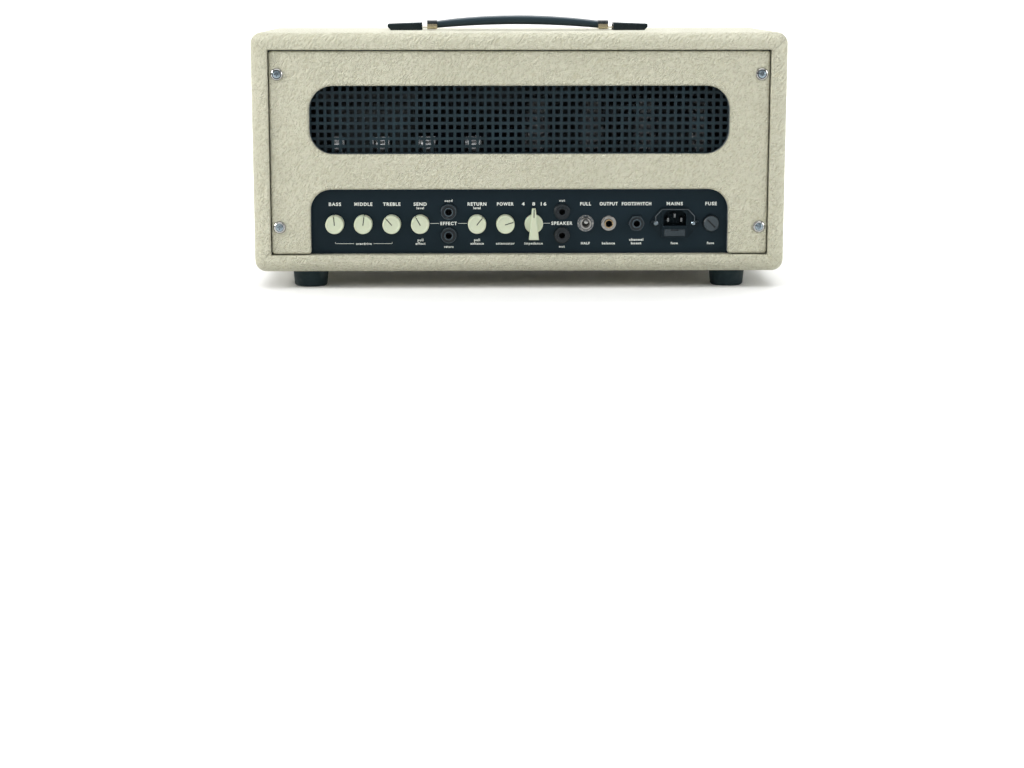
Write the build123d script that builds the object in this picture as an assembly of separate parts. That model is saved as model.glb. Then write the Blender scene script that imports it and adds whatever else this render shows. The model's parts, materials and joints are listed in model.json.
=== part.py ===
from build123d import *
import math
import os

# A valve guitar amplifier head: a covered plywood cabinet on four rubber feet, with a
# strap handle, a vented rear panel, and a steel chassis that carries the valves on top
# and its controls in the rear and front walls.
# Millimetres. X runs along the width, +Y to the front, +Z up. The floor is Z = 0.

# Cabinet
head_width = 560.0
head_depth = 240.0
head_height = 250.0
board = 18.0
edge_round = 12.0
rim_round = 2.0
foot_height = 18.0
foot_radius = 19.0
foot_taper = 1.5
foot_inset_x = 57.0
foot_inset_y = 37.0
cleat = 18.0

# Rear panel and front frame
panel_thick = 12.0
panel_inset = 3.0
panel_gap = 1.0
panel_edge_round = 2.5
panel_corner_round = 3.0
opening_width = 440.0
vent_height = 71.0
vent_corner = 25.0
vent_below_top = 36.0
cutout_height = 68.0
cutout_corner = 22.0
window_width = 476.0
window_height = 112.0
window_corner = 6.0
window_below_top = 20.0
baffle_thick = 9.0
cloth_thick = 1.0
baffle_lap = 10.0

# Rear grille
grille_pitch = 8.0
grille_hole = 5.0
grille_sheet = 1.2
grille_lap = 12.0
grille_margin = 5.0

# Screws that hold the rear panel
panel_screw_inset_x = 8.5
panel_screw_from_top = 24.0
panel_screw_from_bottom = 28.5
screw_radius = 2.0
screw_head_radius = 4.0
screw_head_crown = 0.8
screw_length = 26.0
washer_radius = 6.7
washer_height = 2.2

# Handle
handle_length = 282.0
handle_cap_length = 37.3
handle_cap_height = 8.4
handle_cap_drop = 1.3
handle_cap_bevel = 3.5
handle_cap_wall = 2.5
handle_width = 26.0
handle_gap = 5.5
ferrule_length = 10.8
ferrule_height = 9.6
ferrule_lift = 1.0
strip_width = 18.0
strip_thick = 1.2
strip_lift = 2.6
strip_tail = 11.0
pin_setback = 8.3
pin_radius = 1.5
eye_wall = 0.95
slot_play = 3.3
slot_clearance = 0.5
grip_lift = 2.0
grip_thick = 8.4
grip_rise_below = 3.9
grip_rise_above = 5.6
strip_rise = 4.8
grip_round = 3.0
grip_split = 0.3

# Chassis
chassis_width = 480.0
chassis_height = 71.0
chassis_sheet = 1.5
chassis_lip = 15.0
faceplate_sheet = 1.5
faceplate_gap = 0.5
faceplate_border = 1.0
cover_sheet = 1.0
bolt_radius = 3.0
bolt_spacing_x = 380.0
bolt_from_wall = 9.0
bolt_head_flats = 10.0
bolt_head_height = 4.4
bolt_washer_radius = 7.0
bolt_washer_thick = 1.6
bolt_pocket_radius = 8.5
bolt_pocket_depth = 8.0
control_height = 32.0

# Controls, spaced along the rear wall from its centre
control_pitch = 30.0
control_columns = 8
row_shift = -75.0
jack_spread = 12.5
toggle_step = 25.0
balanced_step = 24.5
footswitch_step = 29.5
inlet_step = 40.5
hv_fuse_step = 38.5

# Controls along the front wall
input_x = 190.0
gain_x = 130.0
volume_x = 70.0
lamp_x = -125.0
standby_x = -160.0
mains_x = -195.0

# Knobs, potentiometers and switches
shaft_radius = 3.0
shaft_gap = 0.05
bushing_wall = 1.2
bushing_reach = 5.0
pot_radius = 8.5
pot_depth = 11.0
pull_switch_depth = 9.0
shaft_end = 3.0
plunger_length = 5.0
nut_thick = 2.2
nut_margin = 1.8
knob_radius = 9.7
knob_height = 14.5
knob_gap = 1.0
knob_rim = 1.2
knob_dish = 0.4
pointer_groove = 1.1
pointer_tip = 16.2
pointer_tail = 16.2
pointer_tip_width = 3.6
pointer_tail_width = 10.4
pointer_disc_height = 8.0
pointer_round = 1.0
rotary_radius = 13.0
rotary_depth = 14.0

# Jack sockets
jack_bore_radius = 3.25
jack_wall = 1.5
jack_reach = 6.5
jack_bore_depth = 30.0
jack_body = 20.0
jack_body_depth = 26.0
jack_nut_radius = 8.6
jack_nut_thick = 4.5
chrome_nut_flats = 13.4
chrome_washer_radius = 7.9

# Toggle switches
toggle_bushing_radius = 5.9
toggle_reach = 6.5
toggle_mouth_radius = 4.2
toggle_ball_radius = 3.0
toggle_pivot_depth = 1.0
toggle_lever_length = 16.0
toggle_neck_radius = 1.6
toggle_tip_radius = 2.6
toggle_angle = 12.0
toggle_washer_radius = 8.7
toggle_pin_radius = 0.8
toggle_pin_reach = 4.9
toggle_nut_flats = 14.0
toggle_body = 15.0
toggle_body_depth = 20.0

# Mains inlet with its fuse drawer and cord bail
inlet_width = 27.4
inlet_height = 31.8
inlet_flange = 2.0
inlet_rim = 1.5
inlet_depth = 22.0
inlet_recess_width = 24.4
inlet_recess_height = 16.4
inlet_recess_rise = 5.5
inlet_recess_chamfer = 4.6
inlet_recess_depth = 17.0
inlet_screw_x = 20.0
inlet_ear_radius = 5.5
inlet_pin_spacing = 7.0
drawer_width = 22.0
drawer_height = 7.0
drawer_drop = 10.0
drawer_depth = 21.0
drawer_gap = 0.3
fuse_radius = 2.6
fuse_length = 20.0
bail_wire_radius = 0.6
bail_pivot_x = 20.5
bail_pivot_y = 2.0
bail_reach = 13.0
bail_top_half = 13.75
bail_standoff = 6.2

# High-voltage fuse holder
holder_flange_radius = 8.8
holder_tube_radius = 6.3
holder_depth = 30.0
fuse_cap_radius = 8.5
fuse_cap_height = 5.6
fuse_cap_stem_radius = 5.0
fuse_cap_stem = 5.0

# Valves, transformers and capacitors on the chassis
valve_line = -66.0
power_valve_x = (20.0, 78.0, 136.0, 194.0)
power_valve_radius = 16.5
power_valve_height = 98.0
power_base_height = 14.0
glass_wall = 1.2
preamp_valve_x = (-195.0, -147.0, -98.0, -48.0)
preamp_valve_radius = 10.0
preamp_valve_height = 44.0
shield_wall = 0.6
shield_gap = 0.9
socket_lift = 3.0
socket_depth = 10.0
power_transformer_x = -165.0
output_transformer_x = 150.0
choke_x = 64.0
capacitor_x = (-75.0, -33.0, 9.0)
transformer_line = 34.0
capacitor_radius = 17.5
capacitor_height = 52.0

# Clearances
slip = 0.05
hole_gap = 0.15

# Derived levels and depths
floor_top = foot_height + board
roof_under = foot_height + head_height - board
roof_top = foot_height + head_height
inner_width = head_width - 2 * board
inner_height = head_height - 2 * board
panel_face = head_depth / 2 - panel_inset
panel_back = panel_face - panel_thick
panel_bottom = floor_top + panel_gap
panel_top = roof_under - panel_gap
panel_height = panel_top - panel_bottom
plate_face = panel_back - faceplate_gap
wall_face = plate_face - faceplate_sheet
wall = faceplate_sheet + chassis_sheet
deck = floor_top + cover_sheet + chassis_height
control_z = floor_top + control_height
vent_z = panel_top - vent_below_top - vent_height / 2
window_z = panel_top - window_below_top - window_height / 2
bushing_radius = shaft_radius + bushing_wall
nut_corner = (bushing_radius + nut_margin) / math.cos(math.pi / 6)
knob_hollow = nut_corner + 0.3
jack_bushing_radius = jack_bore_radius + jack_wall


def control_x(column):
    """Place of a control column on the rear wall, counted from the left end."""
    return row_shift + control_pitch * (column - control_columns / 2)


pot_columns = {
    "bass_knob": 0,
    "middle_knob": 1,
    "treble_knob": 2,
    "send_knob": 3,
    "return_knob": 5,
    "attenuator_knob": 6,
}
pull_knobs = ("send_knob", "return_knob")
knob_turn = {
    "bass_knob": -5.0,
    "middle_knob": 8.0,
    "treble_knob": -42.0,
    "send_knob": -29.0,
    "return_knob": 39.0,
    "attenuator_knob": 73.0,
    "gain_knob": 20.0,
    "volume_knob": -30.0,
}
effect_x = control_x(4)
impedance_x = control_x(7)
speaker_x = control_x(8)
mode_x = speaker_x + toggle_step
balanced_x = mode_x + balanced_step
footswitch_x = balanced_x + footswitch_step
inlet_x = footswitch_x + inlet_step
hv_fuse_x = inlet_x + hv_fuse_step


# ---------------------------------------------------------------- small helpers

def block(x0, x1, y0, y1, z0, z1):
    """A block between two limits on each axis."""
    centre = Pos((x0 + x1) / 2, (y0 + y1) / 2, (z0 + z1) / 2)
    return centre * Box(x1 - x0, y1 - y0, z1 - z0)


def bar(radius, z0, z1):
    """A round bar along Z between two heights."""
    return Pos(0, 0, (z0 + z1) / 2) * Cylinder(radius, z1 - z0)


def ring(outer, inner, z0, z1):
    """A round tube along Z between two heights."""
    return bar(outer, z0, z1) - bar(inner, z0 - 1, z1 + 1)


def hexagon(flats, z0, z1):
    """A hexagonal bar along Z, given across its flats."""
    return Pos(0, 0, z0) * extrude(RegularPolygon(flats / 2, 6, major_radius=False), z1 - z0)


def turned(points):
    """A solid of revolution about Z, from its radius and height outline."""
    return revolve(Plane.XZ * make_face(Polyline(*points, close=True)), Axis.Z)


def upright(outline, back, front):
    """An outline drawn in X and Z, made solid between two depths."""
    return extrude(Plane.XZ.offset(-front) * outline, front - back)


def panel_spot(x, side, z=control_z):
    """A plane on a faceplate, looking outward with its Y up; side is -1 rear, 1 front."""
    origin = (x, side * plate_face, z)
    return Plane(origin=origin, x_dir=(-side, 0, 0), z_dir=(0, side, 0))


def without(shape, cutters):
    """The shape with each cutter taken away."""
    for cutter in cutters:
        shape = shape - cutter
    return shape


def corners(x, y):
    """The four mirrored places of a point."""
    return [(sx * x, sy * y) for sx in (-1, 1) for sy in (-1, 1)]


def save(name, shapes):
    """Write a node as one file of separate solids."""
    solids = [solid for shape in shapes for solid in shape.solids()]
    export_step(Compound(solids), f"parts/{name}.step")


# ---------------------------------------------------------------- cabinet

def cabinet_shell():
    """The whole rounded box before it is cut into its four mitred boards."""
    outer = Box(head_width, head_depth, head_height)
    outer = fillet(outer.edges(), edge_round)
    shell = outer - Box(inner_width, head_depth + 2, inner_height)
    rims = shell.faces().filter_by(Axis.Y).sort_by(Axis.Y)
    edges = [edge for rim in (rims[0], rims[-1]) for edge in rim.inner_wires()[0].edges()]
    shell = fillet(edges, rim_round)
    return Pos(0, 0, foot_height + head_height / 2) * shell


def mitre_wedge(sign_x, sign_z):
    """The slice of space that belongs to one board, bounded by the 45 degree mitres."""
    middle = foot_height + head_height / 2
    grow = board + 10
    if sign_z:
        inner = middle + sign_z * inner_height / 2
        outer = inner + sign_z * grow
        half = inner_width / 2
        points = [(-half, inner), (half, inner), (half + grow, outer), (-half - grow, outer)]
    else:
        inner = sign_x * inner_width / 2
        outer = inner + sign_x * grow
        half = inner_height / 2
        points = [
            (inner, middle - half),
            (inner, middle + half),
            (outer, middle + half + grow),
            (outer, middle - half - grow),
        ]
    return upright(make_face(Polyline(*points, close=True)), -head_depth, head_depth)


def foot_places():
    """Centres of the four feet."""
    return corners(head_width / 2 - foot_inset_x, head_depth / 2 - foot_inset_y)


def bolt_places():
    """Centres of the four chassis bolts."""
    return corners(bolt_spacing_x / 2, wall_face - bolt_from_wall)


def panel_screw_places():
    """X and Z of the four rear panel screws."""
    x = inner_width / 2 - panel_gap - panel_screw_inset_x
    heights = (panel_top - panel_screw_from_top, panel_bottom + panel_screw_from_bottom)
    return [(sx * x, z) for sx in (-1, 1) for z in heights]


def handle_screw_places():
    """X of the wood screws inside the handle's end caps, outboard of the strap."""
    x = handle_length / 2 - handle_cap_length + pin_setback + strip_tail + 6.0
    return (-x, x)


def make_cabinet():
    """Top, bottom and side boards, bored for the foot screws and pocketed for the bolts."""
    shell = cabinet_shell()
    top = shell & mitre_wedge(0, 1)
    bottom = shell & mitre_wedge(0, -1)
    sides = [shell & mitre_wedge(sign, 0) for sign in (-1, 1)]
    foot_bores = [
        Pos(x, y, 0) * bar(screw_radius + slip, foot_height - 1, floor_top - 3)
        for x, y in foot_places()
    ]
    pocket_top = foot_height + bolt_pocket_depth
    bolt_bore = bar(bolt_radius + hole_gap, foot_height - 1, floor_top + 1)
    bolt_bore = bolt_bore + bar(bolt_pocket_radius, foot_height - 1, pocket_top)
    bolt_bores = [Pos(x, y, 0) * bolt_bore for x, y in bolt_places()]
    top_bores = [
        Pos(x, 0, 0) * bar(screw_radius + slip, roof_top - 14, roof_top + 1)
        for x in handle_screw_places()
    ]
    save("cabinet_top_board", [without(top, top_bores)])
    save("cabinet_bottom_board", [without(bottom, foot_bores + bolt_bores)])
    save("cabinet_sides", sides)


def make_cleats():
    """Square battens glued inside the sides and roof, which the panels seat on."""
    cleats = []
    outer = inner_width / 2
    depths = ((-panel_back, -panel_back + cleat), (panel_back - cleat, panel_back))
    for y0, y1 in depths:
        for sign in (-1, 1):
            x0, x1 = sorted((sign * outer, sign * (outer - cleat)))
            cleats.append(block(x0, x1, y0, y1, floor_top, roof_under))
        half = outer - cleat
        cleats.append(block(-half, half, y0, y1, roof_under - cleat, roof_under))
    bores = [
        panel_spot(x, -1, z) * bar(screw_radius + slip, -screw_length, panel_thick)
        for x, z in panel_screw_places()
    ]
    save("panel_cleats", [without(item, bores) for item in cleats])


def panel_blank():
    """Outline of a panel that drops into the cabinet with a gap all round."""
    centre = Pos(0, (panel_bottom + panel_top) / 2)
    return centre * Rectangle(inner_width - 2 * panel_gap, panel_height)


def control_cutout():
    """Outline of the low opening in front of a faceplate, open at the bottom."""
    height = 2 * cutout_height
    return Pos(0, panel_bottom) * RectangleRounded(opening_width, height, cutout_corner)


def covered_board(outline, side):
    """A panel with its outer edges softened by the covering that wraps round them."""
    low, high = sorted((side * panel_back, side * panel_face))
    panel = upright(outline, low, high)
    half = inner_width / 2 - panel_gap
    posts = [
        edge
        for edge in panel.edges().filter_by(Axis.Y)
        if abs(abs(edge.center().X) - half) < 0.1
        or abs(edge.center().Z - panel_bottom) < 0.1
    ]
    panel = fillet(posts, panel_corner_round)
    face = panel.faces().filter_by(Axis.Y).sort_by(Axis.Y)
    face = face[-1] if side > 0 else face[0]
    return fillet(face.edges(), panel_edge_round)


def make_rear_panel():
    """The vented rear panel with its control cut-out and four screw holes."""
    vent = Pos(0, vent_z) * RectangleRounded(opening_width, vent_height, vent_corner)
    panel = covered_board(panel_blank() - vent - control_cutout(), -1)
    bores = [
        panel_spot(x, -1, z) * bar(screw_radius + hole_gap, -1, panel_thick + 5)
        for x, z in panel_screw_places()
    ]
    save("rear_panel", [without(panel, bores)])


def grille_size():
    """Columns and rows of holes that cover the vent and its lap, and the sheet size."""
    columns = math.ceil((opening_width + grille_lap) / grille_pitch)
    rows = math.ceil((vent_height + grille_lap) / grille_pitch)
    width = columns * grille_pitch + 2 * grille_margin
    height = rows * grille_pitch + 2 * grille_margin
    return columns, rows, width, height


def grille_screw_places():
    """X and Z of the small screws at the grille's border."""
    width, height = grille_size()[2:]
    x = width / 2 - grille_margin / 2
    z = height / 2 - grille_margin / 2
    return [(px, vent_z + pz) for px in (-x, 0, x) for pz in (-z, z)]


def make_grille():
    """Steel sheet pierced with straight rows of square holes."""
    columns, rows, width, height = grille_size()
    holes = [
        (place * Rectangle(grille_hole, grille_hole)).wire()
        for place in GridLocations(grille_pitch, grille_pitch, columns, rows)
    ]
    sheet = Face(Rectangle(width, height).wire(), holes)
    back = -panel_back
    sheet = upright(Pos(0, vent_z) * sheet, back, back + grille_sheet)
    bores = [
        Pos(x, back, z) * Rot(90, 0, 0) * Cylinder(1.0 + slip, 8 * grille_sheet)
        for x, z in grille_screw_places()
    ]
    save("rear_vent_grille", [without(sheet, bores)])


def phillips(size, depth):
    """The cross recess of a screw head, pointing down from Z = 0."""
    slot = Pos(0, 0, -depth / 2) * Box(size, size * 0.22, 2 * depth)
    return slot + Rot(0, 0, 90) * slot


def make_panel_screws():
    """Oval-head wood screws in raised cup washers."""
    seat = panel_face - plate_face
    head_rim = seat + washer_height - 0.5
    head_top = seat + washer_height + screw_head_crown
    head = turned([
        (0, seat),
        (screw_radius, seat),
        (screw_head_radius - slip, head_rim),
        (screw_head_radius - slip, head_rim + 0.4),
        (screw_head_radius * 0.6, head_top - 0.2),
        (0, head_top),
    ])
    shank = bar(screw_radius, head_top - screw_length, seat + 0.1)
    screw = head + shank - Pos(0, 0, head_top) * phillips(4.4, 1.9)
    washer = turned([
        (screw_radius + hole_gap, seat),
        (washer_radius, seat),
        (washer_radius, seat + 0.35),
        (washer_radius - 0.9, seat + washer_height * 0.75),
        (screw_head_radius + 1.0, seat + washer_height),
        (screw_head_radius + 0.3, seat + washer_height),
        (screw_head_radius, head_rim),
    ])
    places = [panel_spot(x, -1, z) for x, z in panel_screw_places()]
    save("rear_panel_screws", [place * screw for place in places])
    save("rear_panel_cup_washers", [place * washer for place in places])


def make_front():
    """Covered front frame, and behind its window the baffle with its stretched cloth."""
    window = Pos(0, window_z) * RectangleRounded(window_width, window_height, window_corner)
    frame = covered_board(panel_blank() - window - control_cutout(), 1)
    width = inner_width - 2 * cleat - 2 * panel_gap
    height = min(window_height + 2 * baffle_lap, 2 * (roof_under - cleat - window_z - panel_gap))
    backing = Pos(0, window_z) * Rectangle(width, height)
    cloth = upright(backing, panel_back - cloth_thick, panel_back)
    baffle_face = panel_back - cloth_thick
    save("front_frame", [frame])
    save("front_grille_cloth", [cloth])
    save("front_baffle", [upright(backing, baffle_face - baffle_thick, baffle_face)])


def make_feet():
    """Rubber feet with a deep screw recess, and the wood screws that hold them."""
    foot = turned([
        (screw_radius + hole_gap, 8),
        (8, 8),
        (8, 0),
        (foot_radius - foot_taper - 1.5, 0),
        (foot_radius - foot_taper, 1.5),
        (foot_radius, foot_height),
        (screw_radius + hole_gap, foot_height),
    ])
    washer = ring(7, screw_radius + hole_gap, 6.8, 8)
    head = turned([(0, 4.2), (2.5, 4.4), (4.2, 5.6), (4.2, 6.8), (0, 6.8)])
    screw = head + bar(screw_radius, 6.7, floor_top - 4)
    screw = screw - Pos(0, 0, 4.2) * mirror(phillips(4.4, 1.5), Plane.XY)
    anchor_head = turned([(0, 0), (4, 0), (4, 1.2), (2.4, 2.2), (0, 2.4)])
    anchor = anchor_head + bar(screw_radius, -12, 0.1) - Pos(0, 0, 2.4) * phillips(4.0, 1.2)
    screws = []
    for x, y in foot_places():
        screws += [Pos(x, y, 0) * screw, Pos(x, y, 0) * washer]
    screws += [Pos(x, 0, roof_top) * anchor for x in handle_screw_places()]
    save("rubber_feet", [Pos(x, y, 0) * foot for x, y in foot_places()])
    save("cabinet_wood_screws", screws)


# ---------------------------------------------------------------- handle

def arc_radius(chord, rise):
    """Radius of the arc over a chord with a given rise."""
    return ((chord / 2) ** 2 + rise ** 2) / (2 * rise)


def arch(x0, x1, width, low_end, low_rise, high_end, high_rise, span):
    """A curved bar between two arcs that share a span, cut between two X limits."""
    solids = []
    for end, rise in ((high_end, high_rise), (low_end, low_rise)):
        radius = arc_radius(span, rise)
        centre = Pos(0, 0, end + rise - radius)
        solids.append(centre * Rot(90, 0, 0) * Cylinder(radius, width))
    slab = block(x0, x1, -width / 2, width / 2, roof_top, roof_top + 60)
    return (solids[0] & slab) - solids[1]


def make_handle():
    """End caps with cross pins, and the two halves of the strap with its moulded grip."""
    end = handle_length / 2
    mouth = end - handle_cap_length
    pin_x = mouth + pin_setback
    strip_low = roof_top + strip_lift
    strip_mid = strip_low + strip_thick / 2
    grip_end = mouth - handle_gap - ferrule_length
    eye_radius = pin_radius + slip + eye_wall
    roof = strip_mid + eye_radius + 0.5

    outline = make_face(Polyline(
        (mouth, roof_top),
        (mouth, roof_top + handle_cap_height),
        (end - 1.2, roof_top + handle_cap_height - handle_cap_drop),
        (end, roof_top + handle_cap_height - handle_cap_drop - 1.0),
        (end, roof_top + handle_cap_bevel),
        (end - handle_cap_bevel, roof_top),
        close=True,
    ))
    cap = upright(outline, -handle_width / 2, handle_width / 2)
    cap = fillet(cap.edges().filter_by(Axis.X, tolerance=5).sort_by(Axis.Z)[-2:], 1.5)
    inner = handle_width / 2 - handle_cap_wall
    cavity = block(mouth - 1, end - 2 * handle_cap_wall, -inner, inner, roof_top - 1, roof)
    pin_place = Pos(pin_x, 0, strip_mid) * Rot(90, 0, 0)
    cap = cap - cavity - pin_place * Cylinder(pin_radius + slip, 2 * inner + 2)
    pin = pin_place * Cylinder(pin_radius, 2 * inner + 2)
    caps = [cap, pin]
    save("handle_end_caps", caps + [mirror(item, Plane.YZ) for item in caps])

    half_strip = strip_width / 2
    straight = block(grip_end, pin_x, -half_strip, half_strip, strip_low, strip_low + strip_thick)
    curved = arch(grip_split / 2, grip_end, strip_width, strip_low, strip_rise,
                  strip_low + strip_thick, strip_rise, 2 * grip_end)
    tail = block(pin_x, pin_x + strip_tail, -half_strip, half_strip,
                 strip_low, strip_low + strip_thick)
    round_eye = Pos(pin_x, 0, strip_mid) * Rot(90, 0, 0) * Cylinder(eye_radius, strip_width)
    round_bore = Pos(pin_x, 0, strip_mid) * Rot(90, 0, 0) * Cylinder(pin_radius + slip, 40)
    slot_x = pin_x + slot_play / 2
    long_eye = upright(
        Pos(slot_x, strip_mid) * SlotCenterToCenter(slot_play, 2 * eye_radius),
        -half_strip, half_strip,
    )
    long_bore = upright(
        Pos(slot_x, strip_mid) * SlotCenterToCenter(slot_play, 2 * (pin_radius + slot_clearance)),
        -20, 20,
    )
    ferrule = block(grip_end, grip_end + ferrule_length, -handle_width / 2 - 0.7,
                    handle_width / 2 + 0.7, roof_top + ferrule_lift,
                    roof_top + ferrule_lift + ferrule_height)
    ferrule = fillet(ferrule.edges().filter_by(Axis.X), 2.6)
    ferrule = ferrule - straight
    grip = arch(grip_split / 2, grip_end, handle_width, roof_top + grip_lift, grip_rise_below,
                roof_top + grip_lift + grip_thick, grip_rise_above, 2 * grip_end)
    long_edges = [edge for edge in grip.edges() if edge.length > grip_end * 0.9]
    grip = fillet(long_edges, grip_round) - curved
    left_strip = straight + curved + tail + round_eye - round_bore
    right_strip = straight + curved + tail + long_eye - long_bore
    save("handle_strap_left", [mirror(left_strip, Plane.YZ), mirror(ferrule, Plane.YZ)])
    save("handle_strap_right", [right_strip, ferrule])
    save("handle_grip_left", [mirror(grip, Plane.YZ)])
    save("handle_grip_right", [grip])


# ---------------------------------------------------------------- chassis

def jack_spots():
    """Planes of every jack socket: effects, speakers, balanced, footswitch and input."""
    pairs = [
        (x, control_z + sign * jack_spread)
        for x in (effect_x, speaker_x)
        for sign in (1, -1)
    ]
    spots = [panel_spot(x, -1, z) for x, z in pairs]
    spots += [panel_spot(balanced_x, -1), panel_spot(footswitch_x, -1)]
    return spots + [panel_spot(input_x, 1)]


def pot_spots():
    """Each potentiometer's name and plane."""
    spots = {name: panel_spot(control_x(n), -1) for name, n in pot_columns.items()}
    spots["gain_knob"] = panel_spot(gain_x, 1)
    spots["volume_knob"] = panel_spot(volume_x, 1)
    return spots


def toggle_spots():
    """Each toggle switch's lever name and plane."""
    return {
        "mode_toggle_lever": panel_spot(mode_x, -1),
        "mains_toggle_lever": panel_spot(mains_x, 1),
        "standby_toggle_lever": panel_spot(standby_x, 1),
    }


def inlet_body_outline():
    """Outline of the inlet's body behind its flange."""
    return Rectangle(inlet_width - 0.8, inlet_height - 0.8)


def wall_cutters():
    """Tools that pierce the faceplates and chassis walls at every control."""
    low, high = -wall - 1, 1
    cutters = []
    for spot in pot_spots().values():
        cutters.append(spot * bar(bushing_radius + hole_gap, low, high))
    cutters.append(panel_spot(impedance_x, -1) * bar(bushing_radius + hole_gap, low, high))
    for spot in jack_spots():
        cutters.append(spot * bar(jack_bushing_radius + hole_gap, low, high))
    for spot in toggle_spots().values():
        cutters.append(spot * bar(toggle_bushing_radius + hole_gap, low, high))
    inlet = panel_spot(inlet_x, -1)
    hole = Rectangle(inlet_width - 0.8 + 2 * hole_gap, inlet_height - 0.8 + 2 * hole_gap)
    cutters.append(inlet * Pos(0, 0, low) * extrude(hole, high - low))
    for sign in (-1, 1):
        cutters.append(inlet * Pos(sign * inlet_screw_x, 0, 0) * bar(1.5 + slip, low, high))
    cutters.append(panel_spot(hv_fuse_x, -1) * bar(holder_tube_radius + hole_gap, low, high))
    cutters.append(panel_spot(lamp_x, 1) * bar(6 + hole_gap, low, high))
    return cutters


def socket_spots():
    """Every valve socket as place, body radius and socket hole radius."""
    power = [(x, power_valve_radius) for x in power_valve_x]
    preamp = [(x, preamp_valve_radius + shield_gap + shield_wall) for x in preamp_valve_x]
    return power + preamp


def make_chassis():
    """Folded steel box open below, its bottom cover and the two faceplates."""
    half = chassis_width / 2
    low = floor_top + cover_sheet
    sheet = chassis_sheet
    shell = block(-half, half, -wall_face, wall_face, low, deck)
    shell = shell - block(-half + sheet, half - sheet, -wall_face + sheet, wall_face - sheet,
                          low - 1, deck - sheet)
    for sign in (-1, 1):
        y0, y1 = sorted((sign * (wall_face - sheet), sign * (wall_face - chassis_lip)))
        shell = shell + block(-half + sheet, half - sheet, y0, y1, low, low + sheet)
    deck_cutters = [
        Pos(x, valve_line, 0) * bar(radius - 3, deck - 5, deck + 5) for x, radius in socket_spots()
    ]
    bolt_cutters = [
        Pos(x, y, 0) * bar(bolt_radius + hole_gap, floor_top - 1, low + 5)
        for x, y in bolt_places()
    ]
    cutters = wall_cutters()
    save("chassis", [without(shell, deck_cutters + bolt_cutters + cutters)])
    cover = block(-half, half, -wall_face, wall_face, floor_top, low)
    save("chassis_bottom_cover", [without(cover, bolt_cutters)])
    wide = half - faceplate_border
    plates = []
    for side in (-1, 1):
        y0, y1 = sorted((side * wall_face, side * plate_face))
        plates.append(block(-wide, wide, y0, y1, floor_top + 0.5, deck - 0.5))
    save("faceplates", [without(plate, cutters) for plate in plates])


def make_chassis_screws():
    """Bolts that hold the chassis to the bottom board, and the inlet's two screws."""
    nut_seat = floor_top + cover_sheet + chassis_sheet
    pocket_top = foot_height + bolt_pocket_depth
    head_top = pocket_top - bolt_washer_thick
    head = hexagon(bolt_head_flats, head_top - bolt_head_height, head_top)
    bolt = head + bar(bolt_radius, head_top - 0.1, nut_seat + 7)
    washer = ring(bolt_washer_radius, bolt_radius + slip, head_top, pocket_top)
    nut = hexagon(bolt_head_flats, nut_seat, nut_seat + 5)
    nut = nut - bar(bolt_radius + slip, nut_seat - 1, nut_seat + 6)
    screws = []
    for x, y in bolt_places():
        screws += [Pos(x, y, 0) * item for item in (bolt, washer, nut)]
    head = turned([(0, 0), (2.5, 0), (2.5, 1.0), (1.6, 1.9), (0, 2.0)])
    head = head - Pos(0, 0, 2.0) * phillips(3.0, 1.1)
    small = Pos(0, 0, inlet_flange) * head + bar(1.5, -wall - 5, inlet_flange + 0.1)
    small_nut = hexagon(5.5, -wall - 2.4, -wall) - bar(1.5 + slip, -wall - 4, 1)
    for sign in (-1, 1):
        place = panel_spot(inlet_x, -1) * Pos(sign * inlet_screw_x, 0, 0)
        screws += [place * small, place * small_nut]
    save("chassis_screws", screws)


# ---------------------------------------------------------------- controls

def make_potentiometers():
    """Pot bodies with hollow bushings and nuts; the pull pots have a switch behind."""
    shapes = []
    bore = shaft_radius + shaft_gap
    for name, spot in pot_spots().items():
        extra = pull_switch_depth if name in pull_knobs else 0
        back = -wall - pot_depth - extra
        body = bar(pot_radius, back, -wall) + bar(bushing_radius, -wall, bushing_reach)
        body = body - bar(bore, back + 1.2, bushing_reach + 1)
        for x in (-5, 0, 5):
            body = body + block(x - 1, x + 1, -pot_radius - 5, -pot_radius + 1, -wall - 7, -wall - 6)
        flats = 2 * (bushing_radius + nut_margin)
        nut = hexagon(flats, 0, nut_thick) - bar(bushing_radius + slip, -1, nut_thick + 1)
        shapes += [spot * body, spot * nut]
    save("potentiometers", shapes)


def knob_solids(turn):
    """A round knob with a dished face and pointer groove, and its metal shaft."""
    top = knob_gap + knob_height
    skirt = bushing_reach + 0.8
    body = turned([
        (0, skirt),
        (knob_hollow, skirt),
        (knob_hollow, knob_gap),
        (knob_radius, knob_gap),
        (knob_radius - 0.25, top - 0.9),
        (knob_radius - 0.9, top),
        (knob_radius - 0.9 - knob_rim, top),
        (knob_radius - 1.3 - knob_rim, top - knob_dish),
        (0, top - knob_dish),
    ])
    groove = block(-pointer_groove / 2, pointer_groove / 2, -0.8, knob_radius + 1,
                   top - knob_dish - 0.9, top + 1)
    side = block(-pointer_groove / 2, pointer_groove / 2, knob_radius - 0.9, knob_radius + 1,
                 knob_gap - 1, top + 1)
    body = body - groove - side - bar(shaft_radius + slip / 2, 0, skirt + 6)
    shaft = bar(shaft_radius, -wall - pot_depth + shaft_end, skirt + 5.5)
    return [Rot(0, 0, -turn) * item for item in (body, shaft)]


def make_knobs():
    """Every round knob, and the plungers that the pull knobs' shafts work."""
    for name, spot in pot_spots().items():
        solids = knob_solids(knob_turn[name])
        save(name, [spot * item for item in solids])
    end = -wall - pot_depth + shaft_end - 0.2
    plunger = bar(shaft_radius - 0.4, end - plunger_length, end)
    for name in pull_knobs:
        save(name.replace("knob", "plunger"), [pot_spots()[name] * plunger])


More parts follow.
